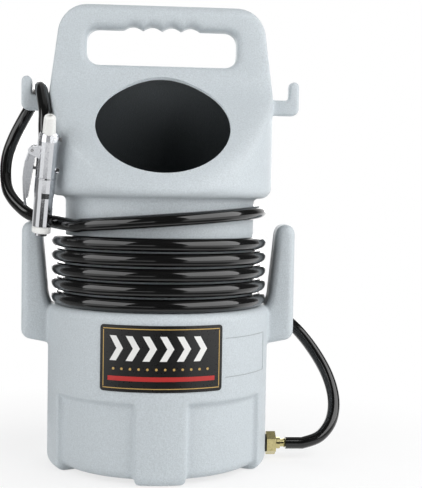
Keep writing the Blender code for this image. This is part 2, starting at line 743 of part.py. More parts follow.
def build_outlet(brass, rubber):
    outer_face = BARREL_R + FACE_GAP
    hex_face = outer_face + OUTLET_WASHER_THICKNESS + FACE_GAP
    inner_face = SPOT_FACE_X - FACE_GAP
    washer_bore = OUTLET_THREAD_R + FACE_GAP
    tail = inner_face - OUTLET_WASHER_THICKNESS - FACE_GAP - OUTLET_NUT_LENGTH - OUTLET_THREAD_SPARE
    place = (0, 0, OUTLET_Z)

    def washer(name, start):
        profile = [
            (washer_bore, start),
            (OUTLET_WASHER_R, start),
            (OUTLET_WASHER_R, start + OUTLET_WASHER_THICKNESS),
            (washer_bore, start + OUTLET_WASHER_THICKNESS),
        ]
        add_object(name, turned(name, profile, "X", SMALL_SIDES), rubber, location=place)

    washer("outlet_outer_washer", outer_face)
    washer("outlet_inner_washer", inner_face - OUTLET_WASHER_THICKNESS)
    hexagon = prism("outlet_fitting", OUTLET_HEX_FLATS, hex_face, OUTLET_HEX_LENGTH, "X")
    fitting = add_object("outlet_fitting", hexagon, brass, location=place)
    thread = helper(
        "outlet_thread",
        turned_solid(
            "outlet_thread",
            [(OUTLET_THREAD_R, tail), (OUTLET_THREAD_R, hex_face + OUTLET_HEX_LENGTH / 3)],
            "X",
            SMALL_SIDES,
        ),
    )
    bore = helper(
        "outlet_fitting_bore",
        turned_solid(
            "outlet_fitting_bore",
            [(OUTLET_BORE_R, tail - WALL), (OUTLET_BORE_R, hex_face + OUTLET_HEX_LENGTH + WALL)],
            "X",
            SMALL_SIDES,
        ),
    )
    thread.location = place
    bore.location = place
    combine(fitting, thread, "UNION")
    combine(fitting, bore, "DIFFERENCE")
    nut_start = inner_face - OUTLET_WASHER_THICKNESS - FACE_GAP - OUTLET_NUT_LENGTH
    nut = prism("outlet_lock_nut", OUTLET_NUT_FLATS, nut_start, OUTLET_NUT_LENGTH, "X", bore=washer_bore)
    add_object("outlet_lock_nut", nut, brass, location=place)
    barb_start = hex_face + OUTLET_HEX_LENGTH + FACE_GAP
    profile = barb_profile(BARB_BORE_R, barb_start, OUTLET_COLLAR_R, OUTLET_COLLAR_LENGTH, OUTLET_BARB_LENGTH)
    add_object("outlet_barb", turned("outlet_barb", profile, "X", SMALL_SIDES), brass, location=place)
    return Vector((barb_start + OUTLET_BARB_LENGTH + FACE_GAP, 0, OUTLET_Z))


# Hose


def smooth_path(route, spacing):
    """Points at even steps along a smooth curve through the route, whose first and last steps stay straight."""
    fine = []
    for a, b, c, d in zip(route, route[1:], route[2:], route[3:]):
        for step in range(12):
            t = step / 12
            fine.append(
                0.5 * (2 * b + (c - a) * t + (2 * a - 5 * b + 4 * c - d) * t**2 + (3 * b - a - 3 * c + d) * t**3)
            )
    fine.append(route[-2])
    lengths = [0.0]
    for a, b in zip(fine, fine[1:]):
        lengths.append(lengths[-1] + (b - a).length)
    count = max(round(lengths[-1] / spacing), 2)
    points = [route[0]]
    at = 0
    for step in range(count + 1):
        goal = lengths[-1] * step / count
        while at < len(lengths) - 2 and lengths[at + 1] < goal:
            at += 1
        share = (goal - lengths[at]) / (lengths[at + 1] - lengths[at])
        points.append(fine[at].lerp(fine[at + 1], share))
    points.append(route[-1])
    return points


def tube(name, points, resolution, finish):
    curve = bpy.data.curves.new(name, "CURVE")
    curve.dimensions = "3D"
    curve.bevel_depth = HOSE_DIAMETER / 2
    curve.bevel_resolution = resolution
    curve.use_fill_caps = True
    spline = curve.splines.new("POLY")
    spline.points.add(len(points) - 1)
    for slot, point in zip(spline.points, points):
        slot.co = (*point, 1.0)
    add_object(name, curve, finish)


def coil_height(turn):
    """Height along the winding, in turns from the left side: level in front, stepping down behind."""
    heights = [COIL_LOWEST_Z + COIL_PITCH * (COIL_PASSES - 1 - i) for i in range(COIL_PASSES)]
    pass_number = min(int(turn), COIL_PASSES - 1)
    share = turn - pass_number
    start = heights[pass_number]
    rise = COIL_FIRST_RISE if pass_number == 0 else 0.0
    if share <= 0.5 or pass_number == COIL_PASSES - 1:
        return start + rise * smooth_step(2 * share)
    drop = start + rise - heights[pass_number + 1]
    return start + rise - drop * smooth_step(2 * share - 1)


def coil_point(turn):
    angle = math.pi + math.tau * turn
    return Vector((COIL_R * math.cos(angle), COIL_R * math.sin(angle), coil_height(turn)))


def coil_path():
    """The winding, from its upper left end to its lower right one, with a straight lead at each end."""
    first = (COIL_START_DEG - 180.0) / 360.0
    last = COIL_PASSES - 0.5 + 0.02
    steps = round((last - first) * COIL_POINTS_PER_TURN)
    points = [coil_point(first + (last - first) * i / steps) for i in range(steps + 1)]
    lead_in = (points[0] - coil_point(first + 0.002)).normalized() * HOSE_DIAMETER
    lead_out = (points[-1] - coil_point(last - 0.002)).normalized() * HOSE_DIAMETER
    return [points[0] + lead_in, *points, points[-1] + lead_out]


def least_gap(points):
    """The smallest distance between the walls of turns that lie beside each other."""
    near = COIL_POINTS_PER_TURN // 2
    found = math.inf
    for i, point in enumerate(points):
        for a, b in zip(points[i + near :], points[i + near + 1 :]):
            along = (b - a).normalized()
            share = min(max((point - a).dot(along), 0.0), (b - a).length)
            found = min(found, (a + along * share - point).length)
    return found - HOSE_DIAMETER


def route_length(points):
    return sum((b - a).length for a, b in zip(points, points[1:]))


def build_hose(outlet_end, gun_end, gun_direction, finish):
    coil = coil_path()
    tube("hose_coil", coil, 1, finish)
    spacing = 2 * HOSE_DIAMETER
    start_way = (coil[0] - coil[1]).normalized()
    end_way = (coil[-1] - coil[-2]).normalized()
    gun_route = [gun_end, gun_end + gun_direction * HOSE_DIAMETER]
    gun_route += [Vector((-UPPER_R - out, y, HOOK_ARM_TOP_Z + up)) for out, y, up in GUN_RUN_OVER_HOOK]
    gun_route += [Vector((-COIL_R - out, y, coil[0].z + up)) for out, y, up in GUN_RUN_TO_COIL]
    gun_route += [coil[0] + start_way * (HOSE_DIAMETER + FACE_GAP), coil[0] + start_way * FACE_GAP]
    drop = SHOULDER_Z - OUTLET_Z
    outlet_route = [coil[-1] + end_way * FACE_GAP, coil[-1] + end_way * (HOSE_DIAMETER + FACE_GAP)]
    outlet_route += [Vector((BARREL_R + out, y, OUTLET_Z + drop * up)) for out, y, up in OUTLET_RUN]
    outlet_route += [outlet_end + Vector((HOSE_DIAMETER, 0, 0)), outlet_end]
    gun_path = smooth_path(gun_route, spacing)
    outlet_path = smooth_path(outlet_route, spacing)
    tube("hose_gun_run", gun_path, 3, finish)
    tube("hose_outlet_run", outlet_path, 3, finish)
    whole = route_length(coil) + route_length(gun_path) + route_length(outlet_path)
    print(f"hose coil: least gap to itself {1000 * least_gap(coil):.2f} mm")
    print(f"hose length {whole:.3f} m")


# Blast gun


def octagon_ring(flats, z, roundness=0.0):
    """Sixteen points round an octagon bar; roundness 1 gives a circle of the same width."""
    ring = []
    corner = flats / 2 / math.cos(math.pi / 8)
    for i in range(16):
        angle = math.tau * (i + 0.5) / 16
        to_flat = (angle + math.pi / 8) % (math.pi / 4) - math.pi / 8
        flat_reach = min(flats / 2 / math.cos(to_flat), corner)
        reach = flat_reach + (flats / 2 - flat_reach) * roundness
        ring.append(Vector((reach * math.cos(angle), reach * math.sin(angle), z)))
    return ring


def ear_outline():
    root = -GUN_BODY_FLATS / 2 + GUN_WALL
    outline = arc((PIVOT_X, PIVOT_Z), EAR_R, 90, 270, 8)
    return outline + [(root, PIVOT_Z - EAR_R - EAR_FLARE), (root, PIVOT_Z + EAR_R + EAR_FLARE / 2)]


def slab_between(name, outline, near, far):
    rings = [[Vector((x, y, z)) for x, z in outline] for y in (near, far)]
    return lofted(name, rings)


def gun_helper(name, mesh, gun, location=(0, 0, 0)):
    made = helper(name, mesh)
    made.parent = gun
    made.location = location
    return made


def build_gun_body(gun, chrome):
    bottom = GUN_SEAM_Z + GUN_SEAM_THICKNESS + 2 * FACE_GAP
    slim = GUN_BODY_FLATS - GUN_BODY_SLIM
    mesh = lofted(
        "gun_body",
        [
            octagon_ring(slim, bottom),
            octagon_ring(GUN_BODY_FLATS, GUN_BODY_TOP_Z - GUN_SHOULDER_DROP),
            octagon_ring(GUN_BODY_FLATS - GUN_BODY_CHAMFER * 0.75, GUN_BODY_TOP_Z - GUN_BODY_CHAMFER),
            octagon_ring(GUN_BODY_FLATS - GUN_BODY_CHAMFER * 2, GUN_BODY_TOP_Z),
        ],
        sharp_deg=15.0,
    )
    body = add_object("gun_body", mesh, chrome, gun)
    for side, name in ((-1, "near"), (1, "far")):
        ends = sorted((side * EAR_HALF_GAP, side * (EAR_HALF_GAP + EAR_THICKNESS)))
        combine(body, gun_helper(f"{name}_ear", slab_between(f"{name}_ear", ear_outline(), *ends), gun), "UNION")
    turn = Vector((0, 0, 1)).rotation_difference(INLET_DIRECTION)
    boss_ends = [(INLET_BOSS_R, -GUN_WALL / 2), (INLET_BOSS_R, INLET_BOSS_LENGTH)]
    boss_mesh = turned_solid("inlet_boss", boss_ends, sides=SMALL_SIDES)
    boss = gun_helper("inlet_boss", boss_mesh, gun, INLET_ROOT)
    boss.rotation_mode = "QUATERNION"
    boss.rotation_quaternion = turn
    combine(body, boss, "UNION")
    seat_z = GUN_BODY_TOP_Z - NOZZLE_SEAT_DEPTH
    jet_middle = JET_BOTTOM_Z + JET_LENGTH / 2
    air_top = VALVE_Z + GUN_WALL
    mixing_r = NOZZLE_R - NOZZLE_LEDGE
    core = turned_solid(
        "gun_core",
        [
            (AIR_BORE_R, bottom - GUN_WALL),
            (AIR_BORE_R, air_top),
            (JET_R + FACE_GAP, air_top),
            (JET_R + FACE_GAP, jet_middle),
            (mixing_r, jet_middle + NOZZLE_LEDGE),
            (mixing_r, seat_z + NOZZLE_LEDGE),
        ],
        sides=SMALL_SIDES,
    )
    combine(body, gun_helper("gun_core", core, gun), "DIFFERENCE")
    seat_r = NOZZLE_R + FACE_GAP
    seat_mesh = turned_solid("nozzle_seat", [(seat_r, 0.0), (seat_r, NOZZLE_SEAT_DEPTH + 2 * GUN_WALL)], sides=SMALL_SIDES)
    seat = gun_helper("nozzle_seat", seat_mesh, gun, (0, 0, seat_z))
    seat.rotation_euler = (math.radians(NOZZLE_TILT_DEG), 0, 0)
    combine(body, seat, "DIFFERENCE")
    half = GUN_BODY_FLATS / 2
    cuts = (
        ("valve_chamber", VALVE_CHAMBER_R, -half + STEM_GUIDE_LENGTH, half + GUN_WALL, VALVE_Z),
        ("stem_guide", STEM_R + RUN_GAP, -half - GUN_WALL, 0.0, VALVE_Z),
        ("set_screw_bore", SET_SCREW_R + FACE_GAP, NOZZLE_R - NOZZLE_LEDGE / 2, half + GUN_WALL, SET_SCREW_Z),
    )
    for name, radius, start, end, z in cuts:
        mesh = turned_solid(name, [(radius, start), (radius, end)], "X", 12)
        combine(body, gun_helper(name, mesh, gun, (0, 0, z)), "DIFFERENCE")
    reach = EAR_HALF_GAP + 2 * EAR_THICKNESS
    pin_bore = turned_solid("pivot_bore", [(PIVOT_PIN_R + FACE_GAP, -reach), (PIVOT_PIN_R + FACE_GAP, reach)], "Y", 12)
    combine(body, gun_helper("pivot_bore", pin_bore, gun, (PIVOT_X, 0, PIVOT_Z)), "DIFFERENCE")
    port_ends = [(OUTLET_BORE_R, -GUN_WALL / 2), (OUTLET_BORE_R, INLET_BOSS_LENGTH + GUN_WALL)]
    port = turned_solid("material_port", port_ends, sides=12)
    cut = gun_helper("material_port", port, gun, INLET_ROOT)
    cut.rotation_mode = "QUATERNION"
    cut.rotation_quaternion = turn
    combine(body, cut, "DIFFERENCE")


def build_gun_handle(gun, chrome, white):
    base = GUN_CAP_LENGTH + FACE_GAP
    slim = GUN_BODY_FLATS - GUN_BODY_SLIM
    rings = [
        octagon_ring(2 * HANDLE_TUBE_R, base, 1.0),
        octagon_ring(2 * HANDLE_TUBE_R, HANDLE_BLEND_Z, 1.0),
        octagon_ring(slim, HANDLE_BLEND_Z + HANDLE_BLEND_LENGTH, 0.0),
        octagon_ring(slim, GUN_SEAM_Z, 0.0),
    ]
    handle = add_object("gun_handle", lofted("gun_handle", rings, 15.0), chrome, gun)
    nipple_r = NIPPLE_R + FACE_GAP
    bore = turned_solid(
        "handle_bore",
        [
            (nipple_r, base - GUN_WALL),
            (nipple_r, base + NIPPLE_LENGTH / 2 + FACE_GAP),
            (AIR_BORE_R, base + NIPPLE_LENGTH / 2 + FACE_GAP),
            (AIR_BORE_R, GUN_SEAM_Z + GUN_WALL),
        ],
        sides=SMALL_SIDES,
    )
    combine(handle, gun_helper("handle_bore", bore, gun), "DIFFERENCE")
    seam = GUN_SEAM_Z + FACE_GAP
    ring_r = slim / 2 + RUN_GAP
    profile = [
        (AIR_BORE_R, seam),
        (ring_r, seam),
        (ring_r, seam + GUN_SEAM_THICKNESS),
        (AIR_BORE_R, seam + GUN_SEAM_THICKNESS),
    ]
    add_object("handle_joint_ring", turned("handle_joint_ring", profile), chrome, gun)
    low = base - NIPPLE_LENGTH / 2
    profile = [(AIR_BORE_R, low), (NIPPLE_R, low), (NIPPLE_R, low + NIPPLE_LENGTH), (AIR_BORE_R, low + NIPPLE_LENGTH)]
    add_object("air_inlet_nipple", turned("air_inlet_nipple", profile, sides=SMALL_SIDES), chrome, gun)
    rim = GUN_CAP_RIM
    profile = [
        (nipple_r, 0.0),
        (GUN_CAP_R - rim, 0.0),
        (GUN_CAP_R, rim),
        (GUN_CAP_R, GUN_CAP_LENGTH - rim),
        (GUN_CAP_R - rim, GUN_CAP_LENGTH),
        (nipple_r, GUN_CAP_LENGTH),
    ]
    add_object("air_inlet_collar", turned("air_inlet_collar", profile), white, gun)


def build_gun_inside(gun, chrome, steel, white, rubber):
    seat = FACE_GAP
    top = seat + NOZZLE_LENGTH
    tip_r = NOZZLE_R - NOZZLE_TAPER - NOZZLE_TIP_ROUND
    profile = [(NOZZLE_BORE_R, seat), (NOZZLE_R, seat), (NOZZLE_R, seat + NOZZLE_SEAT_DEPTH)]
    profile += arc((tip_r, top - NOZZLE_TIP_ROUND), NOZZLE_TIP_ROUND, 0, 90, 4)
    profile += [(NOZZLE_BORE_R, top)]
    seat_place = (0, 0, GUN_BODY_TOP_Z - NOZZLE_SEAT_DEPTH)
    nozzle = add_object("blast_nozzle", turned("blast_nozzle", profile), white, gun, seat_place)
    nozzle.rotation_euler = (math.radians(NOZZLE_TILT_DEG), 0, 0)
    profile = [
        (JET_BORE_R, JET_BOTTOM_Z),
        (JET_R, JET_BOTTOM_Z),
        (JET_R, JET_BOTTOM_Z + JET_LENGTH * 0.75),
        (JET_BORE_R + (JET_R - JET_BORE_R) * 0.4, JET_BOTTOM_Z + JET_LENGTH),
        (JET_BORE_R, JET_BOTTOM_Z + JET_LENGTH),
    ]
    add_object("air_jet", turned("air_jet", profile, sides=SMALL_SIDES), steel, gun)
    half = GUN_BODY_FLATS / 2
    head = half + SET_SCREW_STANDOFF
    screw = [(SET_SCREW_R, NOZZLE_R + FACE_GAP), (SET_SCREW_R, head)]
    screw += [(SET_SCREW_HEAD_R, head), (SET_SCREW_HEAD_R, head + SET_SCREW_HEAD_LENGTH)]
    add_object("nozzle_set_screw", turned_solid("nozzle_set_screw", screw, "X", 12), steel, gun, (0, 0, SET_SCREW_Z))

    chamber = -half + STEM_GUIDE_LENGTH
    place = (0, 0, VALVE_Z)
    profile = [
        (STEM_R + RUN_GAP, chamber + FACE_GAP),
        (VALVE_CHAMBER_R - FACE_GAP, chamber + FACE_GAP),
        (VALVE_CHAMBER_R - FACE_GAP, chamber + FACE_GAP + SEAL_LENGTH),
        (STEM_R + RUN_GAP, chamber + FACE_GAP + SEAL_LENGTH),
    ]
    add_object("stem_seal", turned("stem_seal", profile, "X", SMALL_SIDES), rubber, gun, place)
    head = chamber + SEAL_LENGTH + 2 * FACE_GAP
    stem = [
        (STEM_R * 0.6, -STEM_REACH),
        (STEM_R, -STEM_REACH + STEM_R / 3),
        (STEM_R, head),
        (STEM_HEAD_R, head),
        (STEM_HEAD_R, head + STEM_HEAD_LENGTH),
    ]
    add_object("valve_stem", turned_solid("valve_stem", stem, "X", 12), steel, gun, place)
    plug_face = half - PLUG_LENGTH
    plug = [
        (VALVE_CHAMBER_R - FACE_GAP, plug_face),
        (VALVE_CHAMBER_R - FACE_GAP, half + FACE_GAP),
        (PLUG_HEAD_R, half + FACE_GAP),
        (PLUG_HEAD_R, half + FACE_GAP + PLUG_HEAD_LENGTH),
    ]
    add_object("valve_plug", turned_solid("valve_plug", plug, "X", SMALL_SIDES), chrome, gun, place)
    build_spring(gun, steel, head + STEM_HEAD_LENGTH + FACE_GAP, plug_face - FACE_GAP)


def build_spring(gun, steel, start, end):
    """The return spring, wound between the stem's head and the plug."""
    curve = bpy.data.curves.new("valve_spring", "CURVE")
    curve.dimensions = "3D"
    curve.bevel_depth = SPRING_WIRE / 2
    curve.bevel_resolution = 1
    curve.use_fill_caps = True
    per_turn = 10
    count = SPRING_TURNS * per_turn
    low, high = start + SPRING_WIRE, end - SPRING_WIRE
    spline = curve.splines.new("POLY")
    spline.points.add(count)
    for i in range(count + 1):
        angle = math.tau * i / per_turn
        x = low + (high - low) * i / count
        spline.points[i].co = (x, SPRING_R * math.cos(angle), SPRING_R * math.sin(angle), 1.0)
    add_object("valve_spring", curve, steel, gun, (0, 0, VALVE_Z))
    print(f"valve spring: least gap to itself {1000 * ((high - low) / SPRING_TURNS - SPRING_WIRE):.2f} mm")


def lever_sides():
    """The trigger's bowed web about its pivot: its outer and its inner edge, downwards."""
    middle = [Vector(point) for point in LEVER_BOW]
    half = LEVER_THICKNESS / 2
    outer, inner = [], []
    for i, point in enumerate(middle):
        along = (middle[min(i + 1, len(middle) - 1)] - middle[max(i - 1, 0)]).normalized()
        across = Vector((along.y, -along.x))
        outer.append(point + across * half)
        inner.append(point - across * half)
    return outer, inner


def lever_outline():
    """Side view of the trigger's web: an eye, then a bowed strip that ends near the handle."""
    outer, inner = lever_sides()
    eye = arc((0.0, 0.0), LEVER_EYE_R, -40, 190, 9)
    return [tuple(p) for p in outer] + [tuple(p) for p in reversed(inner)] + eye


def cheek_outline():
    """Side view of a cheek: from inside the web to as near the gun as the trigger's full pull allows."""
    outer, inner = [side[:-1] for side in lever_sides()]
    pull = math.tan(math.radians(LEVER_PULL_DEG))
    face = -GUN_BODY_FLATS / 2 - PIVOT_X - LEVER_CLEARANCE
    web = [tuple((a + b) / 2) for a, b in zip(outer, inner)]
    edge = [(max(face + pull * point.y, point.x), point.y) for point in inner]
    return web + edge[::-1]


def build_trigger(gun, chrome, steel):
    lever_mesh = rounded_slab("trigger_lever", lever_outline(), LEVER_HALF_WIDTH, LEVER_EDGE_ROUND, 2)
    lever = add_object("trigger_lever", lever_mesh, chrome, gun, (PIVOT_X, 0, PIVOT_Z))
    cheek_out = LEVER_HALF_WIDTH - FACE_GAP
    for side, name in ((-1, "near_cheek"), (1, "far_cheek")):
        ends = sorted((side * (cheek_out - LEVER_CHEEK), side * cheek_out))
        cheek = gun_helper(name, slab_between(name, cheek_outline(), *ends), gun, (PIVOT_X, 0, PIVOT_Z))
        combine(lever, cheek, "UNION")
    reach = LEVER_HALF_WIDTH + LEVER_THICKNESS
    bore = turned_solid("lever_bore", [(PIVOT_PIN_R + RUN_GAP, -reach), (PIVOT_PIN_R + RUN_GAP, reach)], "Y", 12)
    combine(lever, gun_helper("lever_bore", bore, gun, (PIVOT_X, 0, PIVOT_Z)), "DIFFERENCE")
    ends = EAR_HALF_GAP + EAR_THICKNESS + LEVER_EDGE_ROUND
    pin = turned_solid("trigger_pin", [(PIVOT_PIN_R, -ends), (PIVOT_PIN_R, ends)], "Y", 12)
    add_object("trigger_pin", pin, steel, gun, (PIVOT_X, 0, PIVOT_Z))


def build_material_barb(gun, brass):
    """The hose tail on the gun's boss; returns the hose's end and its direction in the gun's frame."""
    start = INLET_BOSS_LENGTH + FACE_GAP
    profile = barb_profile(BARB_BORE_R, start, INLET_COLLAR_R, INLET_COLLAR_LENGTH, INLET_BARB_LENGTH)
    barb = add_object("material_barb", turned("material_barb", profile, sides=SMALL_SIDES), brass, gun, INLET_ROOT)
    barb.rotation_mode = "QUATERNION"
    barb.rotation_quaternion = Vector((0, 0, 1)).rotation_difference(INLET_DIRECTION)
    return INLET_ROOT + INLET_DIRECTION * (start + INLET_BARB_LENGTH + FACE_GAP)


def gun_frame():
    """An empty at the gun's foot, turned so that its +Z runs to the nozzle."""
    up = GUN_LEAN.normalized()
    away = (Vector((0, 1, 0)) - up * up.y).normalized()
    across = away.cross(up)
    turn = Matrix((across, away, up)).transposed()
    empty = bpy.data.objects.new("gun_frame", None)
    bpy.context.scene.collection.objects.link(empty)
    empty.matrix_world = Matrix.Translation(GUN_FOOT) @ turn.to_4x4()
    return empty, turn


def main():
    clear_scene()
    grey = material("grey_plastic", (0.55, 0.60, 0.63), 0.55)
    black = material("black_label", (0.02, 0.02, 0.022), 0.35)
    hose = material("black_hose", (0.012, 0.012, 0.012), 0.18)
    brass = material("brass", (0.62, 0.50, 0.26), 0.28, 1.0)
    rubber = material("black_rubber", (0.03, 0.03, 0.03), 0.7)
    chrome = material("chrome", (0.72, 0.72, 0.74), 0.12, 1.0)
    steel = material("steel", (0.55, 0.55, 0.56), 0.3, 1.0)
    white = material("white_ceramic", (0.86, 0.86, 0.83), 0.35)

    build_hopper(grey)
    build_label(black)
    outlet_end = build_outlet(brass, rubber)
    gun, turn = gun_frame()
    build_gun_body(gun, chrome)
    build_gun_handle(gun, chrome, white)
    build_gun_inside(gun, chrome, steel, white, rubber)
    build_trigger(gun, chrome, steel)
    barb_end = build_material_barb(gun, brass)
    build_hose(outlet_end, GUN_FOOT + turn @ barb_end, turn @ INLET_DIRECTION, hose)


main()
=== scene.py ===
"""Looks of a portable siphon abrasive blaster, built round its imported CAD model.

Everything is in metres, in the CAD model's frame: +Z is up, and the fill hole and the label face -Y.
"""

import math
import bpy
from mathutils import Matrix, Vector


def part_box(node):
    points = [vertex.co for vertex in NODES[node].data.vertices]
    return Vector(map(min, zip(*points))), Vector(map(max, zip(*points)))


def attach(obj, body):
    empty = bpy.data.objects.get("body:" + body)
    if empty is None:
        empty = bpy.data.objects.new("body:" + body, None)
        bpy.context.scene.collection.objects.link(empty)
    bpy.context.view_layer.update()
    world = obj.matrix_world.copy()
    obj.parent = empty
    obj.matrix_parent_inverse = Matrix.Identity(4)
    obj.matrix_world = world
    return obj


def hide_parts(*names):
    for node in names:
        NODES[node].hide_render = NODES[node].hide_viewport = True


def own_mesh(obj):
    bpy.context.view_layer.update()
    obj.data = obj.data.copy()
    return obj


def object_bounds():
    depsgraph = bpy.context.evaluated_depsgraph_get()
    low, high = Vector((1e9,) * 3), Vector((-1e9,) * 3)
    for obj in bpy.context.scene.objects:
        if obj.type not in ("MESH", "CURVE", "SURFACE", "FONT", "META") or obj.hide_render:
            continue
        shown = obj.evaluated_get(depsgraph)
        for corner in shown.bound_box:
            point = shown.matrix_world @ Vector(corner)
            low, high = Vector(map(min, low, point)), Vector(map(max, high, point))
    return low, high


bl_info = {
    "name": "Abrasive Blaster Looks",
    "version": (1, 0, 0),
    "blender": (4, 5, 0),
    "location": "View3D > Sidebar > Blaster",
    "description": "Builds a moulded hopper, its hose, its gun and a plain studio round a CAD frame",
    "category": "Object",
}

import bmesh
import bpy
from bpy.props import FloatProperty, FloatVectorProperty, IntProperty, PointerProperty
from bpy.types import Operator, Panel, PropertyGroup
from mathutils import Matrix, Vector

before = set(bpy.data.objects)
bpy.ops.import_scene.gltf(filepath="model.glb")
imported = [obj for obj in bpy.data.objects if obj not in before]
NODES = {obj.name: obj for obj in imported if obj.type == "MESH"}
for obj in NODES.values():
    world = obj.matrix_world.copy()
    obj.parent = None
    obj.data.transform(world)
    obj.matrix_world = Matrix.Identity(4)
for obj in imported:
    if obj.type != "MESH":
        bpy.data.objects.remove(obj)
CAD_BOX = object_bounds()
BODY = "hopper_and_gun"

# Image of the photograph, and the camera that was fitted to it
IMAGE_WIDTH = 422
IMAGE_HEIGHT = 488
SENSOR = 36.0
CAMERA_PLACE = Vector((-0.04347, -1.25219, 0.31942))
CAMERA_YAW = math.radians(4.800)
CAMERA_PITCH = math.radians(2.763)
CAMERA_ROLL = math.radians(0.964)
FOCAL_PIXELS = 1051.8

# Hopper, as in the CAD source, but with panels a little higher, deeper and crisper, as photographed
FACE_GAP = 0.0003
HOPPER_HEIGHT = 0.538
BARREL_R = 0.130
WAIST_R = 0.111
UPPER_R = 0.1315
WALL = 0.003
SHOULDER_Z = 0.350 * HOPPER_HEIGHT
SHOULDER_ROUND = 0.009
WAIST_ROUND = 0.005
UPPER_BOTTOM_Z = 0.5835 * HOPPER_HEIGHT
UPPER_BOTTOM_ROUND = 0.013
FOOT_HEIGHT = 0.005
FOOT_INNER_R = 0.086
BASE_ROUND = 0.011
PANEL_TOP_Z = 0.1655 * HOPPER_HEIGHT
PANEL_DEPTH = 0.0065
PANEL_EDGE = 0.0035
FRONT_RIB_HALF_DEG = 13.0
SIDE_RIB_HALF_DEG = 28.0
RIB_EDGE_DEG = 0.9
SLANT_DEG = 44.2
SLANT_APEX_Z = HOPPER_HEIGHT - 0.074
SLANT_DROP = SLANT_APEX_Z - UPPER_BOTTOM_Z
SLANT_ROUND = 0.020
SLANT_FOOT_ROUND = 0.016
HOLE_DIAMETER = 0.7262 * SLANT_DROP / math.cos(math.radians(SLANT_DEG))
HOLE_CENTRE_Z = SLANT_APEX_Z - 0.4566 * SLANT_DROP
HOLLOW_TOP_Z = SLANT_APEX_Z - 0.072 * SLANT_DROP
HANDLE_HALF_DEPTH = 0.016
HANDLE_EDGE_ROUND = 0.013
HANDLE_TAPER_Z = HOPPER_HEIGHT - 0.104
HANDLE_TOP_HALF_WIDTH = UPPER_R - 0.0138
HANDLE_CORNER_ROUND = 0.032
SLOT_TOP_Z = HOPPER_HEIGHT - 0.0287
SLOT_BOTTOM_Z = SLOT_TOP_Z - 0.0420
SLOT_HALF_WIDTH = HANDLE_TOP_HALF_WIDTH - 0.0297
SLOT_CORNER_ROUND = 0.014
SLOT_EDGE_ROUND = 0.009
FINGER_PITCH = 0.0225
FINGER_DEPTH = 0.0045
FINGER_COUNT = 4
HOOK_REACH = 0.1635
HOOK_SINK = 0.012
HOOK_ARM_BOTTOM_Z = HOPPER_HEIGHT - 0.125
HOOK_ARM_TOP_Z = HOOK_ARM_BOTTOM_Z + 0.018
HOOK_TIP_Z = HOOK_ARM_TOP_Z + 0.022
HOOK_UPRIGHT = 0.012
HOOK_HALF_DEPTH = 0.008
HOOK_EDGE_ROUND = 0.0025
HOOK_BOTTOM_ROUND = 0.008
HOOK_INNER_ROUND = 0.0035
PRONG_REACH = 0.161
PRONG_SINK = 0.012
PRONG_TOP_Z = SHOULDER_Z + 0.0955
PRONG_BOTTOM_Z = SHOULDER_Z - 0.0432
PRONG_TOP_WIDTH = 0.023
PRONG_ROOT_FLARE = 0.004
PRONG_ROOT_RISE = 0.012
PRONG_BOTTOM_ROUND = 0.012
PRONG_HALF_DEPTH = 0.019
PRONG_EDGE_ROUND = 0.009
INSIDE_R = BARREL_R - 0.008
OUTLET_Z = 0.0185
OUTLET_BORE_R = 0.0068
RING_POINTS = 288

# Label, as in the CAD source
LABEL_R = BARREL_R + FACE_GAP
LABEL_HALF_DEG = 30.5
LABEL_BOTTOM_Z = 0.104
LABEL_TOP_Z = SHOULDER_Z - 0.012
LABEL_THICKNESS = 0.0006
LABEL_CORNER = 0.004
PLATE_STRIDE = 0.003

# Printed shapes on the label: a border, a row of chevrons, a row of dots and a bar
PRINT_SINK = 0.0001
PRINT_RISE = 0.00006
PRINT_ROUGHNESS = 0.34
BORDER_MARGIN = 0.0035
BORDER_LINE = 0.0009
BAR_MARGIN = 0.006
BAR_BOTTOM = 0.0085
BAR_TOP = 0.0135
CHEVRON_COUNT = 6
CHEVRON_START = 0.008
CHEVRON_PITCH = 0.0185
CHEVRON_DROP = 0.0215
CHEVRON_WIDTH = 0.0155
CHEVRON_HALF_HEIGHT = 0.0135
CHEVRON_STROKE = 0.0075
DOT_COUNT = 12
DOT_START = 0.0125
DOT_PITCH = 0.0095
DOT_RISE = 0.0215
DOT_R = 0.0014

# Faint moulded panel to the right of the label, drawn as thin strips along its edges in a darker plastic
# that is painted shade
MARK_START_DEG = 33.0
MARK_END_DEG = 67.0
MARK_BOTTOM_Z = 0.117
MARK_TOP_Z = 0.161
MARK_RISE = 0.0003
MARK_LINE = 0.0009

# Hose, as in the CAD source: its route in metres and its winding
HOSE_DIAMETER = 0.015
COIL_PASSES = 6
COIL_PITCH = 0.0166
COIL_START_DEG = 222.0
COIL_R = 0.1192
COIL_LOWEST_Z = SHOULDER_Z + HOSE_DIAMETER / 2 + 0.0004
COIL_TOP_Z = COIL_LOWEST_Z + COIL_PITCH * (COIL_PASSES - 1)
COIL_FIRST_RISE = 0.728 * (UPPER_BOTTOM_Z - HOSE_DIAMETER / 2 - COIL_TOP_Z)
COIL_POINTS_PER_TURN = 48
COIL_TAIL_TURNS = 0.02
CURVE_STEPS = 12
HOSE_ON_GUN = 0.0210
GUN_TAIL_END = 0.0266
HOSE_ON_OUTLET = 0.0125
GUN_RUN = (
    (-0.1335, -0.0400, 0.4095),
    (-0.1385, -0.0200, 0.4322),
    (-0.1415, -0.0020, 0.4408),
    (-0.1435, 0.0150, 0.4414),
    (-0.1480, 0.0330, 0.4355),
    (-0.1563, 0.0480, 0.4222),
    (-0.1667, 0.0570, 0.4055),
    (-0.1773, 0.0580, 0.3847),
    (-0.1845, 0.0510, 0.3620),
    (-0.1852, 0.0370, 0.3389),
    (-0.1792, 0.0180, 0.3171),
    (-0.1632, -0.0030, 0.2995),
    (-0.1434, -0.0240, 0.2889),
)
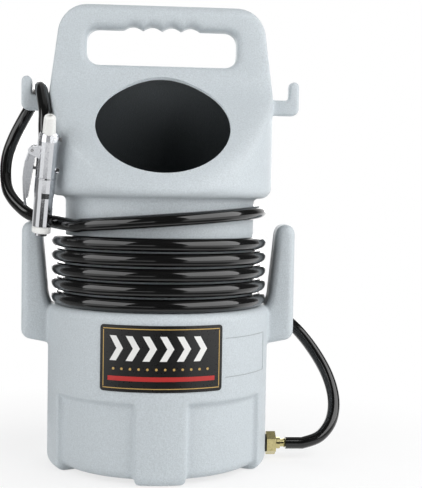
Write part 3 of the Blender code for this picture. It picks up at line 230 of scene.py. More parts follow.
OUTLET_RUN = (
    (0.1200, 0.0700, 0.1915),
    (0.1375, 0.0840, 0.1799),
    (0.1595, 0.0860, 0.1648),
    (0.1825, 0.0760, 0.1448),
    (0.2020, 0.0600, 0.1188),
    (0.2152, 0.0420, 0.0919),
    (0.2197, 0.0250, 0.0659),
    (0.2142, 0.0110, 0.0430),
    (0.1990, 0.0030, 0.0260),
    (0.1790, 0.0000, 0.0190),
)

# Gun, as in the CAD source: its frame, its material inlet and the stroke of its valve
GUN_FOOT = Vector((-1.0272 * UPPER_R, -0.4715 * UPPER_R, HOOK_ARM_TOP_Z - 0.1586))
GUN_LEAN = Vector((0.0119, -0.023, 0.1335))
INLET_ROOT = Vector((-0.002, 0.006, 0.083))
INLET_DIRECTION = Vector((-0.15, 0.62, 0.77)).normalized()

# Edges of CAD pieces that are sharper than this get a bevel
SHARP_DEG = 30.0

# Studio: a round floor, and lamps as name, power setting, place and size
FLOOR_R = 6.0
FLOOR_SIDES = 64
FLOOR_GAP = 0.0002
LAMP_AIM = (0.0, 0.0, 0.27)
LAMPS = (
    ("key_light", "key", (1.36, -0.85, 1.05), (2.3, 1.9)),
    ("fill_light", "fill", (-1.39, -0.78, 0.90), (1.7, 1.5)),
    ("back_light", "back", (0.2, 1.7, 0.9), (1.8, 1.4)),
    ("top_light", "top", (0.0, 0.3, 1.9), (1.3, 1.3)),
)

# What shiny faces see: the floor glows for glossy rays only, as painted reflection, white with dark zones
# and a white patch, and the world is white behind. Each pair is a soft edge, of an angle in radians from
# straight ahead, of a distance from the object's middle or, for what is white behind the object, of the
# share of a ray's way along +Y
ROOM_GLOW = 0.06
GAP_LEFT = (-0.80, -0.70)
GAP_RIGHT = (0.36, 0.46)
WHITE_PATCH_RIGHT = (-0.13, -0.08)
WHITE_PATCH_NEAR = (0.97, 1.00)
DARK_RING_START = (0.25, 0.28)
DARK_RING_END = (0.52, 0.58)
DARK_FRONT = (-0.10, 0.0)
DARK_LEFT = (-1.48, -1.40)
DARK_LEFT_SHARE = 0.8
WHITE_BEHIND = (0.55, 0.85)
SHADOW_EDGE = (0.18, 0.50)
FAR_AHEAD = 9.0


def colour_of(name, description, default):
    return FloatVectorProperty(name=name, description=description, subtype="COLOR", default=default)


def measure(unit, name, description, default):
    return FloatProperty(name=name, description=description, unit=unit, default=default)


class HopperLooks(PropertyGroup):
    """Colours and finish of the moulded hopper."""

    plastic: colour_of("Plastic", "Colour of the outside", (0.525, 0.571, 0.600))
    # Painted shade: the inside colour is a dark plastic that stands in for the shade within the hollow.
    inside: colour_of("Inside", "Colour of the dark inner skin", (0.148, 0.164, 0.174))
    grain: measure("LENGTH", "Grain", "Depth of the moulded grain", 0.00035)
    voxel: measure("LENGTH", "Voxel", "Cell size of the moulded skin", 0.0017)
    blends: IntProperty(name="Blends", description="Smoothing steps where forms meet", default=2)


class LabelLooks(PropertyGroup):
    """Colours of the plain label on the barrel."""

    film: colour_of("Film", "Colour of the plate", (0.007, 0.007, 0.007))
    rule: colour_of("Rules", "Colour of the border and the dots", (0.50, 0.33, 0.10))
    chevron: colour_of("Chevrons", "Colour of the row of chevrons", (0.78, 0.78, 0.76))
    bar: colour_of("Bar", "Colour of the bar", (0.45, 0.022, 0.020))


class HoseLooks(PropertyGroup):
    """Size and finish of the material hose."""

    diameter: measure("LENGTH", "Diameter", "Outside of the hose", HOSE_DIAMETER)
    colour: colour_of("Colour", "Colour of the hose", (0.004, 0.004, 0.004))
    step: measure("LENGTH", "Step", "Distance between points of the route", 0.005)


class MetalLooks(PropertyGroup):
    """Colours of the gun and the fittings."""

    chrome: colour_of("Chrome", "Plating of the gun", (0.65, 0.66, 0.685))
    # Painted shade: the lever's plating is a darker copy of the chrome, standing in for the darker
    # reflections on its cheeks.
    lever: colour_of("Lever", "Plating of the trigger lever", (0.42, 0.43, 0.45))
    brass: colour_of("Brass", "Hose tails and outlet", (0.57, 0.50, 0.25))
    steel: colour_of("Steel", "Pins, screws and spring", (0.56, 0.56, 0.57))
    ceramic: colour_of("Ceramic", "Blast nozzle", (0.86, 0.86, 0.84))
    collar: colour_of("Collar", "Plastic collar at the gun's foot", (0.88, 0.88, 0.86))
    rubber: colour_of("Rubber", "Washers and seal", (0.025, 0.025, 0.025))
    edge: measure("LENGTH", "Edge", "Bevel on the edges of metal pieces", 0.0004)
    nozzle_edge: measure("LENGTH", "Nozzle edge", "Rounding of the nozzle's tip", 0.0022)
    collar_edge: measure("LENGTH", "Collar edge", "Rounding of the white collar", 0.0008)


class StageLooks(PropertyGroup):
    """Floor and light of the studio."""

    floor: colour_of("Floor", "Colour of the floor", (0.90, 0.90, 0.90))
    glow: FloatProperty(name="Glow", description="Whiteness of the floor near the object", default=0.72)
    key: measure("POWER", "Key", "Power of the large light on the right", 39.0)
    fill: measure("POWER", "Fill", "Power of the light on the left", 19.0)
    back: measure("POWER", "Back", "Power of the light behind", 17.0)
    top: measure("POWER", "Top", "Power of the light above", 1.5)
    world: FloatProperty(name="World", description="Strength of the light all round", default=0.13)


# Shapes


def new_object(name, data):
    made = bpy.data.objects.new(name, data)
    bpy.context.scene.collection.objects.link(made)
    return made


def mesh_from(name, points, faces):
    mesh = bpy.data.meshes.new(name)
    mesh.from_pydata([tuple(point) for point in points], [], faces)
    work = bmesh.new()
    work.from_mesh(mesh)
    bmesh.ops.recalc_face_normals(work, faces=work.faces)
    work.to_mesh(mesh)
    work.free()
    return mesh


def lofted(name, rings):
    """A solid skinned over rings of equal count, with flat ends."""
    count = len(rings[0])
    points = [point for ring in rings for point in ring]
    faces = []
    for level in range(len(rings) - 1):
        low, high = level * count, (level + 1) * count
        for i in range(count):
            j = (i + 1) % count
            faces.append((low + i, low + j, high + j, high + i))
    faces.append(tuple(range(count))[::-1])
    faces.append(tuple(range(len(points) - count, len(points))))
    return mesh_from(name, points, faces)


def arc(centre, radius, start_deg, end_deg, steps):
    found = []
    for step in range(steps + 1):
        angle = math.radians(start_deg + (end_deg - start_deg) * step / steps)
        found.append((centre[0] + radius * math.cos(angle), centre[1] + radius * math.sin(angle)))
    return found


def rounded_rectangle(left, right, bottom, top, corner, steps, upper_edge=()):
    """An outline that runs counter-clockwise, with any further points along its upper edge."""
    outline = arc((right - corner, bottom + corner), corner, 270, 360, steps)
    outline += arc((right - corner, top - corner), corner, 0, 90, steps)
    outline += upper_edge
    outline += arc((left + corner, top - corner), corner, 90, 180, steps)
    outline += arc((left + corner, bottom + corner), corner, 180, 270, steps)
    return outline


def angles_round(count):
    return [math.tau * i / count for i in range(count)]


def circle(radius, z, sides):
    return [Vector((radius * math.cos(a), radius * math.sin(a), z)) for a in angles_round(sides)]


def inset(outline, distance):
    """A closed outline moved inwards, corner by corner; the outline runs counter-clockwise."""
    moved = []
    count = len(outline)
    for i in range(count):
        before = Vector(outline[i]) - Vector(outline[i - 1])
        after = Vector(outline[(i + 1) % count]) - Vector(outline[i])
        first = Vector((-before.y, before.x)).normalized()
        second = Vector((-after.y, after.x)).normalized()
        normal = (first + second).normalized()
        moved.append(Vector(outline[i]) + normal * (distance / max(normal.dot(first), 0.4)))
    return moved


def slab_of(name, outline, sections):
    """An outline in X and Z, skinned along Y over sections of inset and distance from the middle."""
    levels = [(depth, -out) for depth, out in sections] + sections[::-1]
    return lofted(name, [[Vector((x, y, z)) for x, z in inset(outline, depth)] for depth, y in levels])


def quarter_round(radius, steps):
    """Pairs of how far in and how far back a rounded edge lies, round a quarter of a circle."""
    turns = [math.radians(90 * step / steps) for step in range(steps + 1)]
    return [(radius * (1 - math.sin(turn)), radius * (1 - math.cos(turn))) for turn in turns]


def rounded_slab(name, outline, half_depth, edge_round, steps):
    """An outline in X and Z, extruded along Y, with its edges rounded over."""
    sections = [(depth, half_depth - back) for depth, back in quarter_round(edge_round, steps)]
    return slab_of(name, outline, sections)


def smooth_step(value):
    value = min(max(value, 0.0), 1.0)
    return value * value * (3 - 2 * value)


def soft_min(first, second, width):
    near = max(width - abs(first - second), 0.0) / width
    return min(first, second) - 0.25 * width * near * near


def bake_modifiers(obj):
    """The object's own mesh becomes what its modifiers make of it."""
    graph = bpy.context.evaluated_depsgraph_get()
    made = bpy.data.meshes.new_from_object(obj.evaluated_get(graph))
    obj.modifiers.clear()
    obj.data = made


def carve(target, tool):
    cut = target.modifiers.new(tool.name, "BOOLEAN")
    cut.operation = "DIFFERENCE"
    cut.solver = "MANIFOLD"
    cut.object = tool
    bake_modifiers(target)
    bpy.data.objects.remove(tool, do_unlink=True)


def shade(obj, sharp_deg):
    obj.data.shade_smooth()
    obj.data.set_sharp_from_angle(angle=math.radians(sharp_deg))


# Finishes


def finish(name, colour, roughness, metallic=0.0):
    """A new material, with its shader, its nodes and links to hand."""
    made = bpy.data.materials.new(name)
    made.use_nodes = True
    tree = made.node_tree
    shader = tree.nodes["Principled BSDF"]
    shader.inputs["Base Color"].default_value = (*colour, 1.0)
    shader.inputs["Roughness"].default_value = roughness
    shader.inputs["Metallic"].default_value = metallic
    return made, tree, shader


def noise(tree, scale, detail=2.0, rough=0.5):
    where = tree.nodes.new("ShaderNodeTexCoord")
    made = tree.nodes.new("ShaderNodeTexNoise")
    made.inputs["Scale"].default_value = scale
    made.inputs["Detail"].default_value = detail
    made.inputs["Roughness"].default_value = rough
    tree.links.new(where.outputs["Object"], made.inputs["Vector"])
    return made.outputs["Fac"]


def spread(tree, value, low, high, source=(0.3, 0.7)):
    made = tree.nodes.new("ShaderNodeMapRange")
    made.inputs["From Min"].default_value = source[0]
    made.inputs["From Max"].default_value = source[1]
    made.inputs["To Min"].default_value = low
    made.inputs["To Max"].default_value = high
    tree.links.new(value, made.inputs["Value"])
    return made.outputs["Result"]


def bumped(tree, shader, value, distance, strength=1.0, over=None):
    made = tree.nodes.new("ShaderNodeBump")
    made.inputs["Distance"].default_value = distance
    made.inputs["Strength"].default_value = strength
    tree.links.new(value, made.inputs["Height"])
    if over is not None:
        tree.links.new(over, made.inputs["Normal"])
    tree.links.new(made.outputs["Normal"], shader.inputs["Normal"])
    return made.outputs["Normal"]


def tinted(tree, shader, value, dark, light):
    """The base colour runs between two colours as value runs from 0 to 1."""
    made = tree.nodes.new("ShaderNodeMix")
    made.data_type = "RGBA"
    made.inputs[6].default_value = (*dark, 1.0)
    made.inputs[7].default_value = (*light, 1.0)
    tree.links.new(value, made.inputs[0])
    tree.links.new(made.outputs[2], shader.inputs["Base Color"])


def roughened(tree, shader, value, low, high):
    tree.links.new(spread(tree, value, low, high), shader.inputs["Roughness"])


def scaled(colour, share):
    return tuple(min(part * share, 1.0) for part in colour)


def moulded_plastic(name, colour, grain, roughness=0.46):
    """Matt moulded plastic: a fine pebbled grain over slow waves of the blown wall."""
    made, tree, shader = finish(name, colour, roughness)
    shader.inputs["Specular IOR Level"].default_value = 0.42
    specks = spread(tree, noise(tree, 620.0, 2.0, 0.6), 0.0, 1.0)
    tinted(tree, shader, specks, scaled(colour, 0.90), scaled(colour, 1.09))
    waves = bumped(tree, shader, noise(tree, 16.0, 1.0), 0.0008, 0.35)
    bumped(tree, shader, noise(tree, 680.0, 2.0, 0.55), grain, 1.0, waves)
    roughened(tree, shader, noise(tree, 420.0), roughness - 0.05, roughness + 0.07)
    return made


def hose_vinyl(name, colour):
    """Glossy black vinyl with faint scuffs."""
    made, tree, shader = finish(name, colour, 0.10)
    shader.inputs["Specular IOR Level"].default_value = 0.25
    shader.inputs["Coat Weight"].default_value = 1.0
    shader.inputs["Coat IOR"].default_value = 1.42
    shader.inputs["Coat Roughness"].default_value = 0.05
    roughened(tree, shader, noise(tree, 160.0, 4.0), 0.07, 0.14)
    bumped(tree, shader, noise(tree, 30.0, 1.0), 0.0003, 0.15)
    return made


def plated_metal(name, colour, roughness):
    """Polished plating over a cast body, with soft waves and fine wear."""
    made, tree, shader = finish(name, colour, roughness, 1.0)
    roughened(tree, shader, noise(tree, 700.0, 4.0, 0.6), roughness * 0.7, roughness * 1.6)
    bumped(tree, shader, noise(tree, 130.0, 2.0), 0.00001, 0.6)
    return made


def turned_brass(name, colour):
    """Yellow brass with tool marks and dull patches."""
    made, tree, shader = finish(name, colour, 0.18, 1.0)
    patches = spread(tree, noise(tree, 260.0, 4.0), 0.0, 1.0)
    tinted(tree, shader, patches, scaled(colour, 0.85), scaled(colour, 1.10))
    roughened(tree, shader, noise(tree, 900.0, 3.0), 0.12, 0.26)
    bumped(tree, shader, noise(tree, 600.0, 2.0), 0.00004, 0.6)
    return made


def fired_ceramic(name, colour):
    """White fired ceramic with a fine speckle."""
    made, tree, shader = finish(name, colour, 0.30)
    specks = spread(tree, noise(tree, 800.0, 2.0), 0.0, 1.0, (0.25, 0.6))
    tinted(tree, shader, specks, scaled(colour, 0.93), colour)
    roughened(tree, shader, noise(tree, 500.0), 0.24, 0.38)
    bumped(tree, shader, noise(tree, 900.0), 0.00003, 0.5)
    return made


def pressed_rubber(name, colour):
    made, tree, shader = finish(name, colour, 0.62)
    roughened(tree, shader, noise(tree, 900.0, 3.0), 0.55, 0.75)
    bumped(tree, shader, noise(tree, 1200.0), 0.00005, 0.6)
    return made


def printed_film(name, colour, roughness=0.30):
    made, tree, shader = finish(name, colour, roughness)
    roughened(tree, shader, noise(tree, 500.0, 3.0), roughness - 0.04, roughness + 0.10)
    bumped(tree, shader, noise(tree, 1500.0), 0.00002, 0.5)
    return made


# Hopper


def panel_share(angle):
    """1 on a recessed panel, 0 on a rib, with a soft edge between."""
    from_side = math.degrees(abs(math.atan2(math.sin(angle), abs(math.cos(angle)))))
    inner = smooth_step((from_side - SIDE_RIB_HALF_DEG + RIB_EDGE_DEG) / (2 * RIB_EDGE_DEG))
    outer = smooth_step((90 - FRONT_RIB_HALF_DEG + RIB_EDGE_DEG - from_side) / (2 * RIB_EDGE_DEG))
    return inner * outer


def drawn_in(z, radius):
    """How far a round of this radius along the hopper's top has come in at a height."""
    above = max(z - (HOPPER_HEIGHT - radius), 0.0)
    return radius - math.sqrt(max(radius**2 - above**2, 0.0)) if above > 0 else 0.0


def half_depth_at(z):
    """Half the hopper's depth: the slanted faces run into the handle's slab with its rounded top."""
    slab = HANDLE_HALF_DEPTH - drawn_in(z, HANDLE_EDGE_ROUND)
    slant = (SLANT_APEX_Z - z) * math.tan(math.radians(SLANT_DEG))
    return -soft_min(-slab, -slant, SLANT_FOOT_ROUND)


def handle_half_width(z):
    share = (z - HANDLE_TAPER_Z) / (HOPPER_HEIGHT - HANDLE_TAPER_Z)
    width = UPPER_R + (HANDLE_TOP_HALF_WIDTH - UPPER_R) * max(share, 0.0)
    return width - drawn_in(z, HANDLE_CORNER_ROUND)


def section_ring(radius, half_depth, z):
    """A circle cut off at front and back by the slanted faces, with rounded corners."""
    depth = min(half_depth, radius)
    ring = []
    for angle in angles_round(RING_POINTS):
        turn = math.atan2(depth * math.sin(angle), radius * math.cos(angle))
        reach = radius
        if abs(math.sin(turn)) > 1e-6:
            reach = soft_min(radius, half_depth / abs(math.sin(turn)), SLANT_ROUND)
        ring.append(Vector((reach * math.cos(turn), reach * math.sin(turn), z)))
    return ring


def base_rings():
    """The underside and the barrel's foot, where ribs stand proud of the panels and end in feet."""
    angles = angles_round(RING_POINTS)
    shares = [panel_share(a) for a in angles]
    lift = [FOOT_HEIGHT * share for share in shares]
    wall = [BARREL_R - PANEL_DEPTH * share for share in shares]
    count = len(angles)

    def ring(radii, heights):
        places = zip(angles, radii, heights)
        return [Vector((r * math.cos(a), r * math.sin(a), z)) for a, r, z in places]

    rings = [ring([FOOT_INNER_R] * count, [FOOT_HEIGHT] * count)]
    for step in range(1, 5):
        down = smooth_step(step / 4)
        out = FOOT_INNER_R + FOOT_HEIGHT * step / 4
        rings.append(ring([out] * count, [FOOT_HEIGHT + (z - FOOT_HEIGHT) * down for z in lift]))
    for out, up in quarter_round(BASE_ROUND, 10):
        rings.append(ring([r - out for r in wall], [z + up for z in lift]))
    low, high = PANEL_TOP_Z - PANEL_EDGE, PANEL_TOP_Z + PANEL_EDGE
    for step in range(11):
        z = low + (high - low) * step / 10
        share = smooth_step(step / 10)
        rings.append(ring([r + (BARREL_R - r) * share for r in wall], [z] * count))
    return rings


def trunk_profile(outset, steps):
    """Radius and height from the barrel to the upper body; a negative outset gives the inside."""
    barrel, waist, upper = BARREL_R + outset, WAIST_R + outset, UPPER_R + outset
    shoulder, under = SHOULDER_Z + outset, UPPER_BOTTOM_Z - outset
    profile = arc((barrel - SHOULDER_ROUND, shoulder - SHOULDER_ROUND), SHOULDER_ROUND, 0, 90, steps)
    profile += arc((waist + WAIST_ROUND, shoulder + WAIST_ROUND), WAIST_ROUND, 270, 180, steps)
    profile += arc((waist + WAIST_ROUND, under - WAIST_ROUND), WAIST_ROUND, 180, 90, steps)
    corner = (upper - UPPER_BOTTOM_ROUND, under + UPPER_BOTTOM_ROUND)
    profile += arc(corner, UPPER_BOTTOM_ROUND, 270, 360, steps)
    return profile


def levels_between(start, end, count):
    return [start + (end - start) * (i + 1) / count for i in range(count)]


def hopper_outside():
    rings = base_rings()
    profile = trunk_profile(0.0, 8)
    for radius, z in profile:
        rings.append(section_ring(radius, half_depth_at(z), z))
    corner = HOPPER_HEIGHT - HANDLE_CORNER_ROUND
    levels = levels_between(profile[-1][1], corner, 60)
    for turn in range(6, 91, 4):
        levels.append(HOPPER_HEIGHT - HANDLE_CORNER_ROUND * (1 - math.sin(math.radians(turn))))
    levels.append(HOPPER_HEIGHT)
    for z in levels:
        rings.append(section_ring(max(handle_half_width(z), HANDLE_EDGE_ROUND), half_depth_at(z), z))
    return lofted("hopper_skin", rings)


def hopper_inside():
    """The hollow for the abrasive: one wall inside the panels, the waist and the slanted faces."""
    floor = FOOT_HEIGHT + WALL
    slant_wall = WALL / math.cos(math.radians(SLANT_DEG))
    profile = arc((INSIDE_R - BASE_ROUND, floor + BASE_ROUND), BASE_ROUND, 270, 360, 6)
    profile += [(INSIDE_R, PANEL_TOP_Z - PANEL_EDGE), (BARREL_R - WALL, PANEL_TOP_Z + PANEL_EDGE)]
    profile += trunk_profile(-WALL, 6)
    rings = [section_ring(radius, half_depth_at(z) - slant_wall, z) for radius, z in profile]
    for z in levels_between(profile[-1][1], HOLLOW_TOP_Z, 24):
        rings.append(section_ring(UPPER_R - WALL, half_depth_at(z) - slant_wall, z))
    return lofted("hopper_inside", rings)


def drum(name, radius, start, end, sides):
    return lofted(name, [circle(radius, height, sides) for height in (start, end)])


def fill_hole():
    """A round saw cut, square to the front slanted face."""
    slant = math.radians(SLANT_DEG)
    reach = 0.4 * HOLE_DIAMETER
    cut = new_object("fill_hole", drum("fill_hole", HOLE_DIAMETER / 2, -reach, reach, 160))
    place = Vector((0, -(SLANT_APEX_Z - HOLE_CENTRE_Z) * math.tan(slant), HOLE_CENTRE_Z))
    cut.matrix_world = Matrix.Translation(place) @ Matrix.Rotation(math.pi / 2 - slant, 4, "X")
    return cut


def outlet_hole():
    bore = drum("outlet_hole", OUTLET_BORE_R, INSIDE_R - WALL, BARREL_R + WALL, 32)
    cut = new_object("outlet_hole", bore)
    cut.matrix_world = Matrix.Translation((0, 0, OUTLET_Z)) @ Matrix.Rotation(math.pi / 2, 4, "Y")
    return cut


def slot_outline():
    """The hand hole, counter-clockwise seen from the front, with finger grips along its upper edge."""
    width, low, high, corner = SLOT_HALF_WIDTH, SLOT_BOTTOM_Z, SLOT_TOP_Z, SLOT_CORNER_ROUND
    grip = FINGER_COUNT * FINGER_PITCH / 2
    per_finger = 10
    fingers = []
    for step in range(FINGER_COUNT * per_finger + 1):
        x = grip - FINGER_PITCH * step / per_finger
        fingers.append((x, high + FINGER_DEPTH * abs(math.sin(math.pi * step / per_finger))))
    return rounded_rectangle(-width, width, low, high, corner, 8, fingers)


def hand_hole():
    """The hand hole widens towards both faces, so that the handle's edges come out rounded."""
    outline = slot_outline()
    sections = [(-SLOT_EDGE_ROUND, HANDLE_HALF_DEPTH + SLOT_EDGE_ROUND / 2)]
    for flare, back in quarter_round(SLOT_EDGE_ROUND, 6):
        sections.append((-flare, HANDLE_HALF_DEPTH - back))
    return new_object("hand_hole", slab_of("hand_hole", outline, sections))


def sided(outline, side):
    if side > 0:
        return outline
    return [(-x, z) for x, z in reversed(outline)]


def hook_outline():
    root = UPPER_R - HOOK_SINK
    inner = HOOK_REACH - HOOK_UPRIGHT
    tip = HOOK_UPRIGHT / 2
    outline = [(root, HOOK_ARM_BOTTOM_Z)]
    bottom = (HOOK_REACH - HOOK_BOTTOM_ROUND, HOOK_ARM_BOTTOM_Z + HOOK_BOTTOM_ROUND)
    outline += arc(bottom, HOOK_BOTTOM_ROUND, 270, 360, 8)
    outline += arc((HOOK_REACH - tip, HOOK_TIP_Z - tip), tip, 0, 180, 12)
    corner = (inner - HOOK_INNER_ROUND, HOOK_ARM_TOP_Z + HOOK_INNER_ROUND)
    outline += arc(corner, HOOK_INNER_ROUND, 360, 270, 6)
    outline.append((root, HOOK_ARM_TOP_Z))
    return outline


def prong_outline():
    root = BARREL_R - PRONG_SINK
    flare = PRONG_ROOT_FLARE
    tip = PRONG_TOP_WIDTH / 2
    outline = [(root, PRONG_BOTTOM_Z - flare), (BARREL_R - flare / 4, PRONG_BOTTOM_Z - flare)]
    corner = (PRONG_REACH - PRONG_BOTTOM_ROUND, PRONG_BOTTOM_Z + PRONG_BOTTOM_ROUND)
    outline += arc(corner, PRONG_BOTTOM_ROUND, 285, 360, 8)
    outline += arc((PRONG_REACH - tip, PRONG_TOP_Z - tip), tip, 0, 172, 16)
    outline.append((BARREL_R + flare / 4, SHOULDER_Z + PRONG_ROOT_RISE))
    outline.append((BARREL_R - flare / 4, SHOULDER_Z + PRONG_ROOT_RISE / 3))
    outline.append((BARREL_R - flare, SHOULDER_Z - PRONG_ROOT_RISE / 4))
    outline.append((root, SHOULDER_Z - PRONG_ROOT_RISE))
    return outline


def mould_skin(looks):
    """The outside in one skin: body, hooks and prongs flow into each other as in a mould."""
    skin = new_object("hopper_skin", hopper_outside())
    carve(skin, hand_hole())
    work = bmesh.new()
    work.from_mesh(skin.data)
    for side in (1, -1):
        hook = rounded_slab("hook", sided(hook_outline(), side), HOOK_HALF_DEPTH, HOOK_EDGE_ROUND, 4)
        outline = sided(prong_outline(), side)
        prong = rounded_slab("prong", outline, PRONG_HALF_DEPTH, PRONG_EDGE_ROUND, 6)
        work.from_mesh(hook)
        work.from_mesh(prong)
    work.to_mesh(skin.data)
    work.free()
    remesh = skin.modifiers.new("skin", "REMESH")
    remesh.mode = "VOXEL"
    remesh.voxel_size = looks.voxel
    soften = skin.modifiers.new("blends", "SMOOTH")
    soften.factor = 0.5
    soften.iterations = looks.blends
    bake_modifiers(skin)
    return skin


class BLASTER_OT_hopper(Operator):
    """Builds the moulded hopper with its hollow, its sawn fill hole and its outlet hole"""

    bl_idname = "blaster.hopper"
    bl_label = "Hopper"

    def execute(self, context):
        looks = context.scene.blaster_hopper
        skin = mould_skin(looks)
        outside = moulded_plastic("hopper_plastic", looks.plastic, looks.grain)
        # Painted shade: the hollow and the outlet bore get the dark inside colour in place of the shade
        # that falls in them.
        inside = moulded_plastic("hopper_inner_skin", looks.inside, looks.grain, 0.6)
        # Painted highlight: the fill hole's cut rim gets plastic 1.35 times lighter than the outside, in
        # place of the light on its edge.
        sawn = moulded_plastic("hopper_sawn_edge", scaled(looks.plastic, 1.35), looks.grain, 0.6)
        hollow = new_object("hopper_inside", hopper_inside())
        cuts = ((hollow, 1), (fill_hole(), 2), (outlet_hole(), 1))
        for body, look in ((skin, 0), *cuts):
            body.data.materials.clear()
            for each in (outside, inside, sawn):
                body.data.materials.append(each)
            for face in body.data.polygons:
                face.material_index = look
        for cut, _ in cuts:
            carve(skin, cut)
        shade(skin, 40.0)
        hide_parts("hopper")
        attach(skin, BODY)
        return {"FINISHED"}


# Label and the faint panel beside it


def bent(across, z, radius):
    angle = across / LABEL_R
    return Vector((radius * math.sin(angle), -radius * math.cos(angle), z))


def bent_plate(name, outline, low, high):
    """A thin plate of the given outline (distance across, height), bent round the barrel."""
    work = bmesh.new()
    points = [work.verts.new((across, 0.0, z)) for across, z in outline]
    work.faces.new(points)
    left = min(across for across, z in outline)
    right = max(across for across, z in outline)
    for step in range(1, math.ceil((right - left) / PLATE_STRIDE)):
        at = left + step * PLATE_STRIDE
        whole = work.verts[:] + work.edges[:] + work.faces[:]
        bmesh.ops.bisect_plane(work, geom=whole, plane_co=(at, 0, 0), plane_no=(1, 0, 0), dist=1e-7)
    sheet = work.faces[:]
    raised = bmesh.ops.extrude_face_region(work, geom=sheet, use_keep_orig=True)
    top = [item for item in raised["geom"] if isinstance(item, bmesh.types.BMVert)]
    for corner in work.verts:
        corner.co = bent(corner.co.x, corner.co.z, low)
    for corner in top:
        angle = math.atan2(corner.co.x, -corner.co.y)
        corner.co = bent(angle * LABEL_R, corner.co.z, high)
    bmesh.ops.recalc_face_normals(work, faces=work.faces)
    mesh = bpy.data.meshes.new(name)
    work.to_mesh(mesh)
    work.free()
    made = new_object(name, mesh)
    shade(made, 30.0)
    return made


def rectangle(left, right, bottom, top):
    return [(left, bottom), (right, bottom), (right, top), (left, top)]


def chevron(left, middle):
    bottom, top = middle - CHEVRON_HALF_HEIGHT, middle + CHEVRON_HALF_HEIGHT
    inner, tip = left + CHEVRON_STROKE, left + CHEVRON_WIDTH
    notch = tip - CHEVRON_STROKE
    return [(left, bottom), (inner, bottom), (tip, middle), (inner, top), (left, top), (notch, middle)]


class BLASTER_OT_panel(Operator):
    """Builds the faint moulded panel on the barrel, to the right of the label, as thin strips in a darker
    plastic: painted shade along its moulded edges
    """

    bl_idname = "blaster.panel"
    bl_label = "Moulded panel"

    def execute(self, context):
        looks = context.scene.blaster_hopper
        left, right = (BARREL_R * math.radians(angle) for angle in (MARK_START_DEG, MARK_END_DEG))
        low, high, line = MARK_BOTTOM_Z, MARK_TOP_Z, MARK_LINE
        edges = {
            "low": rectangle(left, right, low, low + line),
            "high": rectangle(left, right, high - line, high),
            "right": rectangle(right - line, right, low + line, high - line),
        }
        # Painted shade: the strips' plastic is 0.7 times the hopper's colour and stands in for the shade
        # along the panel's edges.
        plastic = moulded_plastic("panel_plastic", scaled(looks.plastic, 0.70), looks.grain)
        inner, outer = BARREL_R - MARK_RISE, BARREL_R + MARK_RISE
        for name, outline in edges.items():
            edge = bent_plate(f"moulded_edge_{name}", outline, inner, outer)
            edge.data.materials.append(plastic)
            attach(edge, BODY)
        return {"FINISHED"}


class BLASTER_OT_label(Operator):
    """Builds the plain label plate and its printed shapes, bent round the barrel"""

    bl_idname = "blaster.label"
    bl_label = "Label"

    def execute(self, context):
        looks = context.scene.blaster_label
        half = LABEL_R * math.radians(LABEL_HALF_DEG)
        face = LABEL_R + LABEL_THICKNESS
        plate_outline = rounded_rectangle(-half, half, LABEL_BOTTOM_Z, LABEL_TOP_Z, LABEL_CORNER, 6)
        plate = bent_plate("label_plate", plate_outline, LABEL_R, face)
        plate.data.materials.append(printed_film("label_film", looks.film))
        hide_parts("front_label")
        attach(plate, BODY)
        inks = {
            "rule": printed_film("label_gold", looks.rule, PRINT_ROUGHNESS),
            "chevron": printed_film("label_white", looks.chevron, PRINT_ROUGHNESS),
            "bar": printed_film("label_red", looks.bar, PRINT_ROUGHNESS),
        }
        margin, line = BORDER_MARGIN, BORDER_LINE
        left, right = -half + margin, half - margin
        bottom, top = LABEL_BOTTOM_Z + margin, LABEL_TOP_Z - margin
        low, high = bottom + 2 * line, top - 2 * line
        bar = rectangle(left + BAR_MARGIN, right - BAR_MARGIN, bottom + BAR_BOTTOM, bottom + BAR_TOP)
        prints = [
            ("label_rule_low", "rule", rectangle(left, right, bottom, bottom + line)),
            ("label_rule_high", "rule", rectangle(left, right, top - line, top)),
            ("label_rule_left", "rule", rectangle(left, left + line, low, high)),
            ("label_rule_right", "rule", rectangle(right - line, right, low, high)),
            ("label_bar", "bar", bar),
        ]
        for i in range(CHEVRON_COUNT):
            shape = chevron(left + CHEVRON_START + CHEVRON_PITCH * i, top - CHEVRON_DROP)
            prints.append((f"label_chevron_{i + 1}", "chevron", shape))
        for i in range(DOT_COUNT):
            centre = (left + DOT_START + DOT_PITCH * i, bottom + DOT_RISE)
            prints.append((f"label_dot_{i + 1:02d}", "rule", arc(centre, DOT_R, 0, 345, 23)))
        for name, ink, outline in prints:
            print_piece = bent_plate(name, outline, face - PRINT_SINK, face + PRINT_RISE)
            print_piece.data.materials.append(inks[ink])
            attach(print_piece, BODY)
        return {"FINISHED"}


# Hose


def coil_height(turn):
    """Height along the winding, in turns from the left side: level in front, stepping down behind."""
    heights = [COIL_LOWEST_Z + COIL_PITCH * (COIL_PASSES - 1 - i) for i in range(COIL_PASSES)]
    pass_number = min(int(turn), COIL_PASSES - 1)
    share = turn - pass_number
    start = heights[pass_number]
    rise = COIL_FIRST_RISE if pass_number == 0 else 0.0
    if share <= 0.5 or pass_number == COIL_PASSES - 1:
        return start + rise * smooth_step(2 * share)
    drop = start + rise - heights[pass_number + 1]
    return start + rise - drop * smooth_step(2 * share - 1)


def coil_points():
    first = (COIL_START_DEG - 180.0) / 360.0
    last = COIL_PASSES - 0.5 + COIL_TAIL_TURNS
    steps = round((last - first) * COIL_POINTS_PER_TURN)
    points = []
    for i in range(steps + 1):
        turn = first + (last - first) * i / steps
        angle = math.pi + math.tau * turn
        points.append(Vector((COIL_R * math.cos(angle), COIL_R * math.sin(angle), coil_height(turn))))
    return points


